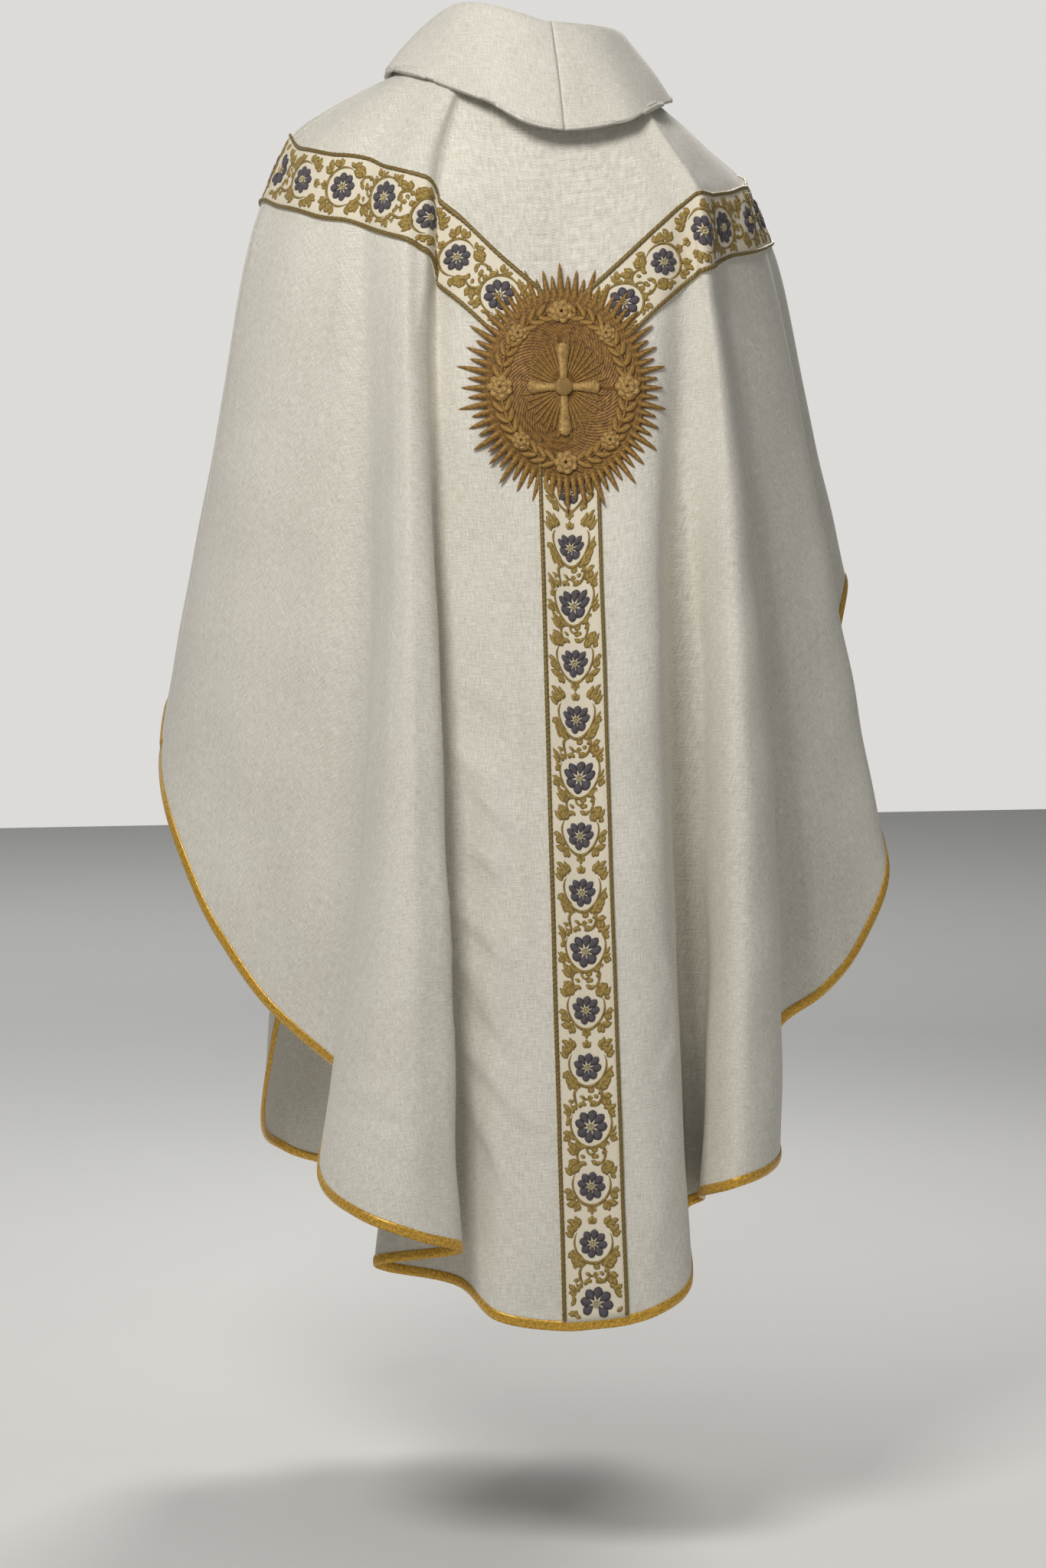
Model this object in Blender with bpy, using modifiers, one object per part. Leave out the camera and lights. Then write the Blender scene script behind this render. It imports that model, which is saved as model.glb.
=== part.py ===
"""Chasuble in its worn pose: a full cloak of thin cloth that hangs from neck and shoulders,
with a rolled collar, Y shaped woven bands back and front, an applied medallion and a bound hem.
Metres, +Z up. The front faces -Y and the wearer's left is +X. The origin is the neck base,
where the wearer's neck and shoulders hold the garment."""
import math
import bpy
import numpy as np

# Driving dimensions
CLOTH = 0.0020            # wall of the main cloth
SEAM_GAP = 0.0003         # free play between neighbouring pieces
BAND_LIFT = 0.0004        # woven bands lie this far off the cloth
BAND = 0.0012             # wall of the woven bands
APPLIQUE_LIFT = 0.0058    # the medallion lies over cloth and bands
APPLIQUE = 0.0020
BINDING_DEEP = 0.0090     # visible depth of the hem binding
BINDING_LIFT = 0.0005
BINDING = 0.0008
COLLAR = 0.0024           # stiffened double cloth of the collar
NECK_X, NECK_Y = 0.084, 0.080     # half width and half depth of the neck seam
ROLL = 0.006              # half thickness of the collar's rolled top
COLUMN = 0.042            # longest step between columns at the hem

# Hang lines, one row for each ridge or valley, in order round the garment from the centre back
# over the wearer's left, the front and the right. A and B are where the line meets the upper and
# lower edge of the band round the shoulders, H is its point on the hem, full pushes the
# line outwards near the forearms, sway bends it sideways (+x) half way down.
#        name     A: x      y       z       B: x      y       z       H: x      y       z    full   sway
HANG = [
    ("back_0", 0.006, 0.183, -0.271,  0.006, 0.194, -0.366,  0.016, 0.366, -1.287,  0.000, 0.000),
    ("left_1", 0.035, 0.175, -0.246,  0.036, 0.187, -0.337,  0.048, 0.358, -1.289,  0.000, 0.000),
    ("left_2", 0.069, 0.160, -0.214,  0.071, 0.170, -0.302,  0.108, 0.334, -1.281,  0.000, 0.000),
    ("left_3", 0.105, 0.140, -0.175,  0.107, 0.150, -0.265,  0.137, 0.270, -1.256,  0.000, -0.004),
    ("left_4", 0.124, 0.122, -0.155,  0.126, 0.125, -0.243,  0.204, 0.238, -1.244,  0.000, -0.014),
    ("left_4b", 0.130, 0.122, -0.147,  0.132, 0.126, -0.234,  0.215, 0.250, -1.236,  0.000, -0.012),
    ("left_5", 0.140, 0.127, -0.134,  0.142, 0.136, -0.214,  0.142, 0.321, -1.213,  0.000, 0.004),
    ("left_6", 0.156, 0.122, -0.129,  0.160, 0.138, -0.201,  0.193, 0.350, -1.194,  0.000, -0.002),
    ("left_7", 0.166, 0.109, -0.125,  0.172, 0.124, -0.196,  0.246, 0.323, -1.175,  0.000, -0.016),
    ("left_8", 0.175, 0.093, -0.121,  0.183, 0.106, -0.191,  0.275, 0.245, -1.147,  0.000, -0.029),
    ("left_9", 0.186, 0.076, -0.113,  0.194, 0.084, -0.185,  0.228, 0.153, -1.057,  0.000, -0.012),
    ("left_10", 0.200, 0.062, -0.109,  0.209, 0.070, -0.179,  0.235, 0.108, -1.050,  0.000, 0.000),
    ("left_11", 0.220, 0.042, -0.106,  0.231, 0.049, -0.175,  0.293, 0.035, -0.995,  0.000, 0.000),
    ("left_12", 0.237, 0.012, -0.100,  0.252, 0.019, -0.166,  0.345, -0.018, -0.909,  0.000, 0.000),
    ("left_13", 0.244, -0.018, -0.095,  0.266, -0.020, -0.160,  0.382, -0.088, -0.791,  0.000, 0.000),
    ("seam_l", 0.244, -0.050, -0.083,  0.275, -0.060, -0.152,  0.376, -0.150, -0.738,  0.000, 0.000),
    ("fore_1", 0.238, -0.086, -0.075,  0.268, -0.108, -0.158,  0.362, -0.196, -0.690,  0.000, 0.000),
    ("fore_2", 0.218, -0.113, -0.085,  0.246, -0.145, -0.172,  0.340, -0.226, -0.700,  0.010, 0.000),
    ("fore_3", 0.190, -0.132, -0.115,  0.216, -0.165, -0.190,  0.302, -0.204, -0.810,  0.020, 0.000),
    ("fore_4", 0.172, -0.139, -0.130,  0.194, -0.171, -0.207,  0.240, -0.158, -0.955,  0.030, 0.000),
    ("fore_4b", 0.164, -0.142, -0.138,  0.184, -0.174, -0.215,  0.230, -0.186, -0.985,  0.033, 0.000),
    ("fore_5", 0.152, -0.146, -0.148,  0.172, -0.178, -0.228,  0.248, -0.262, -1.160,  0.040, 0.000),
    ("fore_6", 0.130, -0.152, -0.166,  0.148, -0.186, -0.248,  0.203, -0.362, -1.215,  0.050, 0.000),
    ("fore_7", 0.100, -0.158, -0.192,  0.112, -0.190, -0.275,  0.134, -0.330, -1.232,  0.055, 0.000),
    ("fore_8", 0.068, -0.162, -0.216,  0.074, -0.194, -0.302,  0.088, -0.374, -1.243,  0.065, 0.000),
    ("fore_9", 0.036, -0.166, -0.245,  0.036, -0.198, -0.335,  0.037, -0.366, -1.250,  0.070, 0.000),
    ("front_0", 0.000, -0.168, -0.270,  0.000, -0.200, -0.366,  0.000, -0.362, -1.253,  0.070, 0.000),
    ("fore_19", -0.036, -0.166, -0.245,  -0.036, -0.198, -0.335,  -0.037, -0.366, -1.250,  0.070, 0.000),
    ("fore_18", -0.068, -0.162, -0.216,  -0.074, -0.194, -0.302,  -0.086, -0.376, -1.244,  0.065, 0.000),
    ("fore_17", -0.100, -0.158, -0.192,  -0.112, -0.190, -0.275,  -0.132, -0.328, -1.232,  0.055, 0.000),
    ("fore_16", -0.128, -0.152, -0.168,  -0.146, -0.186, -0.250,  -0.204, -0.362, -1.216,  0.050, 0.000),
    ("fore_15", -0.150, -0.146, -0.150,  -0.170, -0.178, -0.230,  -0.262, -0.286, -1.165,  0.040, 0.000),
    ("fore_14b", -0.162, -0.139, -0.141,  -0.183, -0.173, -0.217,  -0.229, -0.190, -0.990,  0.033, 0.000),
    ("fore_14", -0.173, -0.134, -0.132,  -0.195, -0.168, -0.208,  -0.240, -0.160, -0.960,  0.030, 0.000),
    ("fore_13", -0.188, -0.122, -0.120,  -0.214, -0.158, -0.195,  -0.304, -0.204, -0.800,  0.020, 0.000),
    ("fore_12", -0.212, -0.095, -0.112,  -0.243, -0.130, -0.180,  -0.338, -0.214, -0.650,  0.010, 0.000),
    ("fore_11", -0.230, -0.055, -0.112,  -0.266, -0.085, -0.182,  -0.364, -0.150, -0.572,  0.000, 0.000),
    ("fore_10", -0.238, -0.012, -0.121,  -0.277, -0.030, -0.193,  -0.374, -0.067, -0.555,  0.000, 0.000),
    ("seam_r", -0.231, 0.023, -0.130,  -0.260, 0.010, -0.199,  -0.345, -0.005, -0.665,  0.000, 0.000),
    ("right_14", -0.224, 0.052, -0.135,  -0.248, 0.046, -0.201,  -0.372, 0.045, -0.800,  0.000, 0.000),
    ("right_13", -0.214, 0.080, -0.137,  -0.238, 0.076, -0.203,  -0.377, 0.087, -0.870,  0.000, 0.000),
    ("right_12", -0.199, 0.107, -0.141,  -0.219, 0.107, -0.208,  -0.334, 0.118, -0.944,  0.000, 0.000),
    ("right_11", -0.183, 0.129, -0.146,  -0.198, 0.131, -0.212,  -0.288, 0.136, -0.989,  0.000, 0.000),
    ("right_10", -0.168, 0.144, -0.149,  -0.180, 0.147, -0.215,  -0.242, 0.128, -1.024,  0.000, -0.008),
    ("right_9", -0.155, 0.158, -0.151,  -0.163, 0.161, -0.221,  -0.203, 0.160, -1.110,  0.000, -0.016),
    ("right_8", -0.146, 0.171, -0.150,  -0.153, 0.179, -0.225,  -0.208, 0.253, -1.138,  0.000, -0.022),
    ("right_7", -0.140, 0.184, -0.150,  -0.144, 0.196, -0.230,  -0.179, 0.308, -1.148,  0.000, -0.022),
    ("right_6", -0.134, 0.190, -0.151,  -0.138, 0.200, -0.233,  -0.138, 0.329, -1.157,  0.000, -0.022),
    ("right_5", -0.127, 0.189, -0.156,  -0.131, 0.195, -0.238,  -0.118, 0.274, -1.174,  0.000, -0.018),
    ("right_4b", -0.121, 0.187, -0.161,  -0.121, 0.192, -0.246,  -0.136, 0.214, -1.189,  0.000, -0.004),
    ("right_4", -0.114, 0.187, -0.166,  -0.114, 0.193, -0.251,  -0.121, 0.205, -1.198,  0.000, 0.002),
    ("right_3", -0.094, 0.190, -0.184,  -0.090, 0.203, -0.270,  -0.089, 0.335, -1.258,  0.000, 0.010),
    ("right_2", -0.050, 0.190, -0.225,  -0.050, 0.204, -0.309,  -0.048, 0.368, -1.275,  0.000, 0.004),
    ("right_1", -0.021, 0.187, -0.251,  -0.024, 0.199, -0.337,  -0.017, 0.371, -1.283,  0.000, 0.000),
]
NAMES = [row[0] for row in HANG]
SHARP = {"left_4", "left_4b", "left_5", "right_4", "right_4b", "right_6", "fore_4", "fore_4b", "fore_14", "fore_14b"}   # lines that get columns close to each side

# Height of the neck seam round the neck, a row for each side
NECK_HIGH = {"back": -0.008, "left": 0.000, "front": -0.036, "right": -0.020}

# Collar sections from the centre back round to the centre front: top of the roll and lower edge
#             top: x      y       z      low: x      y       z
COLLAR_LEFT = [
    ("back",   0.000, 0.104, 0.027, 0.000, 0.164, -0.088),
    ("l_1",    0.030, 0.099, 0.035, 0.035, 0.158, -0.082),
    ("l_2",    0.060, 0.082, 0.045, 0.073, 0.133, -0.059),
    ("l_3",    0.084, 0.048, 0.050, 0.106, 0.090, -0.040),
    ("l_4",    0.097, 0.006, 0.045, 0.134, 0.034, -0.022),
    ("l_5",    0.100, -0.034, 0.035, 0.146, -0.033, -0.013),
    ("l_6",    0.086, -0.070, 0.014, 0.134, -0.090, -0.019),
    ("l_7",    0.050, -0.098, -0.010, 0.092, -0.141, -0.070),
    ("front",  0.000, -0.108, -0.022, 0.000, -0.172, -0.120),
]
COLLAR_RIGHT = [
    ("back",   0.000, 0.104, 0.027, 0.000, 0.164, -0.088),
    ("r_1",    -0.032, 0.099, 0.026, -0.038, 0.166, -0.084),
    ("r_2",    -0.062, 0.086, 0.025, -0.070, 0.162, -0.076),
    ("r_3",    -0.086, 0.056, 0.024, -0.102, 0.136, -0.062),
    ("r_4",    -0.098, 0.018, 0.020, -0.134, 0.084, -0.050),
    ("r_5",    -0.100, -0.020, 0.010, -0.144, 0.024, -0.043),
    ("r_6",    -0.084, -0.064, -0.002, -0.136, -0.052, -0.034),
    ("r_7",    -0.048, -0.096, -0.016, -0.094, -0.128, -0.072),
    ("front",  0.000, -0.108, -0.022, 0.000, -0.172, -0.120),
]

MEDALLION_CENTRE = (0.008, -0.352)     # x and z on the back
MEDALLION_HALF = (0.104, 0.128)        # half width and half height
MEDALLION_LOBES = 16


def neck_point(name, toward):
    """Point of the neck seam on the side that a hang line leaves to."""
    angle = math.atan2(toward[1] / NECK_Y, toward[0] / NECK_X)
    c, s = math.cos(angle), math.sin(angle)
    side = NECK_HIGH["left"] if c > 0 else NECK_HIGH["right"]
    face = NECK_HIGH["back"] if s > 0 else NECK_HIGH["front"]
    return np.array([NECK_X * c, NECK_Y * s, side * c * c + face * s * s])


def line_point(row, stage, s):
    """Point on one hang line: stage 0 neck to A, 1 A to B, 2 B to the hem."""
    A, B, H = (np.array(row[k:k + 3]) for k in (1, 4, 7))
    full = row[10]
    if stage == 0:
        N = neck_point(row[0], A)
        back = abs(A[1]) / (abs(A[0]) + abs(A[1]))
        steep = 1.22 if A[0] > 0 else 1.0
        out, down = s ** (0.85 - 0.25 * back), s ** (steep + (1.12 - steep) * back)
        return np.array([N[0] + (A[0] - N[0]) * out, N[1] + (A[1] - N[1]) * out, N[2] + (A[2] - N[2]) * down])
    if stage == 1:
        return A + (B - A) * s
    start = (B - A) / np.linalg.norm(B - A) * np.linalg.norm(H - B)
    p = B + (H - B) * s + (start - (H - B)) * s * (1 - s) ** 6 * 0.8
    push = np.array([B[0], B[1], 0.0])
    push = push / np.linalg.norm(push)
    return p + push * full * 12.2 * s * (1 - s) ** 4 + np.array([row[11] * 4 * s * (1 - s), 0.0, 0.0])


def through(points, i, f):
    """Point a share f of the way from points[i] to the next one on a smooth closed curve."""
    n = len(points)
    q = [points[(i + k) % n] for k in (-1, 0, 1, 2)]
    t = [0.0]
    for a, b in zip(q, q[1:]):
        t.append(t[-1] + max(np.linalg.norm(b - a), 1e-6) ** 0.5)
    x = t[1] + (t[2] - t[1]) * f

    def mix(a, b, ta, tb):
        return a * ((tb - x) / (tb - ta)) + b * ((x - ta) / (tb - ta))
    a1, a2, a3 = mix(q[0], q[1], t[0], t[1]), mix(q[1], q[2], t[1], t[2]), mix(q[2], q[3], t[2], t[3])
    return mix(mix(a1, a2, t[0], t[2]), mix(a2, a3, t[1], t[3]), t[1], t[2])


def columns(first, last):
    """Column places (line number, share) from one named line on to another, round the garment."""
    i, end, n = NAMES.index(first), NAMES.index(last), len(NAMES)
    places = []
    while i != end:
        a, b = np.array(HANG[i][7:10]), np.array(HANG[(i + 1) % n][7:10])
        steps = max(2, math.ceil(np.linalg.norm(b - a) / COLUMN))
        shares = {k / steps for k in range(steps)}
        shares |= {0.13} if NAMES[i] in SHARP else set()
        shares |= {0.87} if NAMES[(i + 1) % n] in SHARP else set()
        places += [(i, share) for share in sorted(shares)]
        i = (i + 1) % n
    return places + [(end, 0.0)]


def rows(*stages):
    """Row places (stage, share)."""
    table = {"yoke": [(0, s) for s in (0.0, 0.25, 0.5, 0.75)],
             "band": [(1, s) for s in (0.0, 0.5)],
             "fall": [(2, s) for s in (0.0, 0.07, 0.17, 0.30, 0.45, 0.62, 0.80)]}
    return [r for name in stages for r in table[name]]


def cloth_point(column, row):
    i, f = column
    n = len(HANG)
    ring = {k % n: line_point(HANG[k % n], *row) for k in range(i - 1, i + 3)}
    return through([ring.get(k, np.zeros(3)) for k in range(n)], i, f)


def facets(r, c, d, turned=False):
    """The two triangles of one cell of a grid, as (row, column) corners."""
    if turned:
        return [((r, c), (r, d), (r + 1, c)), ((r, d), (r + 1, d), (r + 1, c))]
    return [((r, c), (r, d), (r + 1, d)), ((r, c), (r + 1, d), (r + 1, c))]


def facing(grid):
    """Outward direction at each point of a grid, from the facets that meet there."""
    pts = np.array(grid)
    out = np.zeros_like(pts)
    for r in range(len(pts) - 1):
        for c in range(len(pts[0]) - 1):
            for corners in facets(r, c, c + 1):
                q = [pts[k] for k in corners]
                flat = np.cross(q[1] - q[0], q[2] - q[0])
                flat = flat / max(np.linalg.norm(flat), 1e-12)
                for k in range(3):
                    e, f = q[k - 1] - q[k], q[(k + 1) % 3] - q[k]
                    turn = np.dot(e, f) / max(np.linalg.norm(e) * np.linalg.norm(f), 1e-12)
                    out[corners[k]] += flat * math.acos(max(-1.0, min(1.0, turn)))
    return out / np.linalg.norm(out, axis=2, keepdims=True)


def edge_direction(points):
    """Direction along a row of points."""
    along = np.gradient(points, axis=0)
    return along / np.linalg.norm(along, axis=1, keepdims=True)


def cut(first, last):
    """Grid of a cut panel from seam to seam, its columns, rows and outward directions."""
    cols = columns(first, last)
    levels = rows("yoke", "band", "fall") + [(2, 0.97), (2, 1.0)]
    grid = np.array([[cloth_point(c, row) for c in cols] for row in levels])
    low, along = grid[-1], edge_direction(grid[-1])
    fall = low - grid[-2]
    fall /= np.linalg.norm(fall, axis=1, keepdims=True)
    square = np.linalg.norm(np.cross(fall, along), axis=1, keepdims=True)
    grid[-2] = low - fall * BINDING_DEEP / np.maximum(square, 0.4)
    toward = grid[:, 1] - grid[:, 0]
    grid[:, 0] += toward / np.linalg.norm(toward, axis=1, keepdims=True) * SEAM_GAP * 1.3
    toward = grid[:, -2] - grid[:, -1]
    grid[:, -1] += toward / np.linalg.norm(toward, axis=1, keepdims=True) * SEAM_GAP * 1.3
    return {"cols": cols, "levels": levels, "grid": grid, "out": facing(grid)}


def material(name, colour, rough, metallic=0.0, sheen=0.0):
    m = bpy.data.materials.get(name) or bpy.data.materials.new(name)
    m.use_nodes = True
    p = m.node_tree.nodes["Principled BSDF"]
    p.inputs["Base Color"].default_value = (*colour, 1.0)
    p.inputs["Roughness"].default_value = rough
    p.inputs["Metallic"].default_value = metallic
    p.inputs["Sheen Weight"].default_value = sheen
    return m


def sheet(name, grid, thickness, side, mat, turned=()):
    """Named object from a grid of points, given its wall by Solidify."""
    high, wide = len(grid), len(grid[0])
    verts = [tuple(p) for line in grid for p in line]
    faces = []
    for r in range(high - 1):
        for c in range(wide - 1):
            for corners in facets(r, c, c + 1, r in turned):
                faces.append([row * wide + column for row, column in corners])
    mesh = bpy.data.meshes.new(name)
    mesh.from_pydata(verts, [], faces)
    mesh.validate()
    obj = bpy.data.objects.new(name, mesh)
    bpy.context.scene.collection.objects.link(obj)
    mesh.materials.append(mat)
    wall = obj.modifiers.new("wall", 'SOLIDIFY')
    wall.thickness = thickness
    wall.offset = side
    wall.use_even_offset = False
    return obj


def band(name, piece, columns_used, levels_used, mat, trim):
    """Woven band laid on the cloth: the cloth's own points moved out, its cut ends drawn back."""
    grid = piece["grid"][levels_used[0]:levels_used[1] + 1, columns_used[0]:columns_used[1] + 1].copy()
    out = piece["out"][levels_used[0]:levels_used[1] + 1, columns_used[0]:columns_used[1] + 1]
    for edge, inner, metres in ((np.s_[:, 0], np.s_[:, 1], trim[0]), (np.s_[:, -1], np.s_[:, -2], trim[1]),
                                (np.s_[0], np.s_[1], trim[2]), (np.s_[-1], np.s_[-2], trim[3])):
        toward = grid[inner] - grid[edge]
        grid[edge] += toward / np.linalg.norm(toward, axis=-1, keepdims=True) * metres
    return sheet(name, grid + out * BAND_LIFT, BAND, 1.0, mat)


def binding(name, piece, mat):
    """Hem binding folded round the raw edge."""
    top, low = piece["grid"][-2], piece["grid"][-1]
    out_top, out_low = piece["out"][-2], piece["out"][-1]
    down = np.cross(edge_direction(low), out_low)
    down *= np.sign(np.sum(down * (low - top), axis=1, keepdims=True)) * BINDING_LIFT
    deep = CLOTH + BINDING_LIFT
    legs = np.array([top + out_top * BINDING_LIFT, low + out_low * BINDING_LIFT + down, low - out_low * deep + down, top - out_top * deep])
    for end, inner in ((0, 1), (-1, -2)):
        toward = legs[:, inner] - legs[:, end]
        legs[:, end] += toward / np.linalg.norm(toward, axis=1, keepdims=True) * SEAM_GAP * 1.5
    return sheet(name, legs, BINDING, 1.0, mat, turned=(2,))


def collar_half(name, table, mat):
    """Stand inside the neck, rolled over at the top, falling outside to the lower edge."""
    side = 1.0 if name.endswith("left") else -1.0
    tops = [np.array(r[1:4]) for r in table]
    lows = [np.array(r[4:7]) for r in table]
    mirror = np.array([-1.0, 1.0, 1.0])
    closed_tops = tops + [p * mirror for p in tops[-2:0:-1]]
    closed_lows = lows + [p * mirror for p in lows[-2:0:-1]]
    places = [(i, f) for i in range(len(table) - 1) for f in (0.0, 0.5)] + [(len(table) - 1, 0.0)]
    grid = [[] for _ in range(8)]
    for i, f in places:
        top, low = through(closed_tops, i, f), through(closed_lows, i, f)
        flat = np.array([top[0], top[1], 0.0])
        out = flat / np.linalg.norm(flat)
        up = np.array([0.0, 0.0, 1.0])
        stand = neck_point("collar", top)
        stand = stand * np.array([0.982, 0.982, 1.0]) + up * 0.0014
        fall = low - top
        puff = np.cross(np.cross(fall, out), fall)
        puff = puff / np.linalg.norm(puff)
        if puff[2] < 0 and np.dot(puff, out) < 0:
            puff = -puff
        rise = top - out * ROLL * 2 - stand
        profile = [stand, stand + rise * 0.6, top - out * ROLL * 1.75 - up * 0.002, top - out * ROLL * 0.7 + up * 0.001,
                   top, top + fall * 0.30 + puff * 0.004, top + fall * 0.65 + puff * 0.004, low]
        for line, p in zip(grid, profile):
            line.append(p)
    for line in grid:
        for k in (0, -1):
            line[k] = line[k] + np.array([side * SEAM_GAP * 0.6, 0.0, 0.0])
    grid = grid if side > 0 else [line[::-1] for line in grid]
    return sheet(name, grid, COLLAR, 0.0, mat)


def back_samples():
    """Dense places on the back cloth round the medallion, found once."""
    lines = [NAMES.index(n) for n in ("right_3", "right_2", "right_1", "back_0", "left_1", "left_2", "left_3")]
    places = [(0, v) for v in np.linspace(0.4, 0.98, 20)] + [(1, v) for v in np.linspace(0.0, 0.98, 12)]
    places += [(2, v) for v in np.linspace(0.0, 0.25, 26)]
    return np.array([cloth_point((i, f), row) for i in lines for f in (0.0, 0.25, 0.5, 0.75) for row in places])


def back_depth(samples, x, z):
    """How far back the cloth lies at a place given by x and height."""
    far = (samples[:, 0] - x) ** 2 + (samples[:, 2] - z) ** 2
    near = np.argsort(far)[:16]
    flat = np.column_stack([np.ones(16), samples[near, 0] - x, samples[near, 2] - z])
    weight = np.sqrt(1.0 / (far[near] + 0.010 ** 2))
    fit, *_ = np.linalg.lstsq(flat * weight[:, None], samples[near, 1] * weight, rcond=None)
    return fit[0]


def medallion(name, mat):
    """Applied medallion: a lobed oval that lies over the place where the bands meet."""
    cx, cz = MEDALLION_CENTRE
    spokes, rings = MEDALLION_LOBES * 2, (0.0, 0.3, 0.55, 0.78, 1.0)
    samples = back_samples()
    verts, faces = [], []
    for k, share in enumerate(rings):
        for j in range(spokes if k else 1):
            a = 2 * math.pi * j / spokes
            lobe = 1.0 + (0.035 if j % 2 else -0.02) * share ** 3
            x = cx + MEDALLION_HALF[0] * share * lobe * math.sin(a)
            z = cz + MEDALLION_HALF[1] * share * lobe * math.cos(a)
            y = back_depth(samples, x, z)
            slope = np.array([back_depth(samples, x + 0.004, z) - y, -0.004, back_depth(samples, x, z + 0.004) - y])
            verts.append(np.array([x, y, z]) - slope / np.linalg.norm(slope) * APPLIQUE_LIFT)
    for j in range(spokes):
        faces.append((0, 1 + j, 1 + (j + 1) % spokes))
        for k in range(1, len(rings) - 1):
            a, b = 1 + (k - 1) * spokes, 1 + k * spokes
            faces.append((a + j, b + j, b + (j + 1) % spokes, a + (j + 1) % spokes))
    mesh = bpy.data.meshes.new(name)
    mesh.from_pydata([tuple(v) for v in verts], [], [f[::-1] for f in faces])
    obj = bpy.data.objects.new(name, mesh)
    bpy.context.scene.collection.objects.link(obj)
    mesh.materials.append(mat)
    wall = obj.modifiers.new("wall", 'SOLIDIFY')
    wall.thickness, wall.offset = APPLIQUE, 1.0
    return obj


for old in list(bpy.data.objects):
    bpy.data.objects.remove(old)

cream = material("cloth", (0.80, 0.765, 0.70), 0.85, sheen=0.2)
stiff = material("collar_cloth", (0.81, 0.78, 0.72), 0.85, sheen=0.2)
woven = material("band_cloth", (0.72, 0.62, 0.42), 0.7, sheen=0.1)
gold = material("gold_binding", (0.72, 0.48, 0.12), 0.4, metallic=0.35)
thread = material("gold_thread", (0.45, 0.28, 0.08), 0.55, metallic=0.15)

back = cut("seam_r", "seam_l")
front = cut("seam_l", "seam_r")
sheet("back_panel", back["grid"], CLOTH, -1.0, cream)
sheet("front_panel", front["grid"], CLOTH, -1.0, cream)
collar_half("collar_left", COLLAR_LEFT, stiff)
collar_half("collar_right", COLLAR_RIGHT, stiff)


def place(piece, name):
    return piece["cols"].index((NAMES.index(name), 0.0))


upper, lower = back["levels"].index((1, 0.0)), back["levels"].index((2, 0.0))
above_hem = len(back["levels"]) - 2
end_b, end_f = len(back["cols"]) - 1, len(front["cols"]) - 1
mid_b, mid_f = place(back, "back_0"), place(front, "front_0")
gap = SEAM_GAP * 1.5
band("back_band_right", back, (0, mid_b), (upper, lower), woven, (0, gap, 0, 0))
band("back_band_left", back, (mid_b, end_b), (upper, lower), woven, (gap, 0, 0, 0))
band("back_band_stem", back, (place(back, "right_1"), place(back, "left_1")), (lower, above_hem), woven, (0, 0, 0.0007, 0.0012))
band("front_band_left", front, (0, mid_f), (upper, lower), woven, (0, gap, 0, 0))
band("front_band_right", front, (mid_f, end_f), (upper, lower), woven, (gap, 0, 0, 0))
band("front_band_stem", front, (place(front, "fore_9"), place(front, "fore_19")), (lower, above_hem), woven, (0, 0, 0.0007, 0.0012))
binding("back_hem_binding", back, gold)
binding("front_hem_binding", front, gold)
medallion("back_medallion", thread)
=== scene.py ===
"""Looks of the chasuble: linen cloth, rolled collar, embroidered bands, gold medallion and bound hem.
Metres, +Z up, front to -Y, the wearer's left to +X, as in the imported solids."""
import math
import bpy
import bmesh
import numpy as np
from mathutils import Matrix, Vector


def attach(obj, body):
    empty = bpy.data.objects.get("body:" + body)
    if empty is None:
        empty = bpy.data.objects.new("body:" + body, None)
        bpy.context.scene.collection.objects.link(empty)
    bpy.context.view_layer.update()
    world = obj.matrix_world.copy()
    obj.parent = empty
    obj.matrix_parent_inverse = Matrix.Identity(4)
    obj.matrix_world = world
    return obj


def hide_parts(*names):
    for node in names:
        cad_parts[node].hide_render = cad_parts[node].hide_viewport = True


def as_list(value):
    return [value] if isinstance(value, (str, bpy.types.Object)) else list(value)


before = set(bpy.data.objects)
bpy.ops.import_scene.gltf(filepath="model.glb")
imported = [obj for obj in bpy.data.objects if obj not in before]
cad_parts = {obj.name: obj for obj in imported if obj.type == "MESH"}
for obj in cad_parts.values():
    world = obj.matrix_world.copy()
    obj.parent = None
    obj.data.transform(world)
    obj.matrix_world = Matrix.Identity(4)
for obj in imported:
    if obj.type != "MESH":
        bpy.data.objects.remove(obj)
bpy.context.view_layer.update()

# Cloth and trimming sizes
CLOTH = 0.0020            # wall of the linen
BAND_LIFT = 0.0004        # woven ground lies this far off the linen
BAND = 0.0012             # wall of the woven ground
BINDING_DEEP = 0.0090     # visible depth of the hem binding
BINDING = 0.0008
COLLAR = 0.0020
NECK_X, NECK_Y = 0.084, 0.080     # half width and half depth of the neck seam
NECK_FLAT = 0.085         # radius of the neck hole in the flat cut
ROLL = 0.006              # half thickness of the collar's rolled top
UNIT = 0.1755             # length of one repeat of the embroidery
UNIT_DRAWN = 0.172        # the same length as drawn in the repeat
HALF_BAND = 0.0325        # half width of the band as drawn
CORD = 0.0021             # half thickness of the edge cords
TWIST = 0.0060            # length of one turn of their two strands

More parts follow.
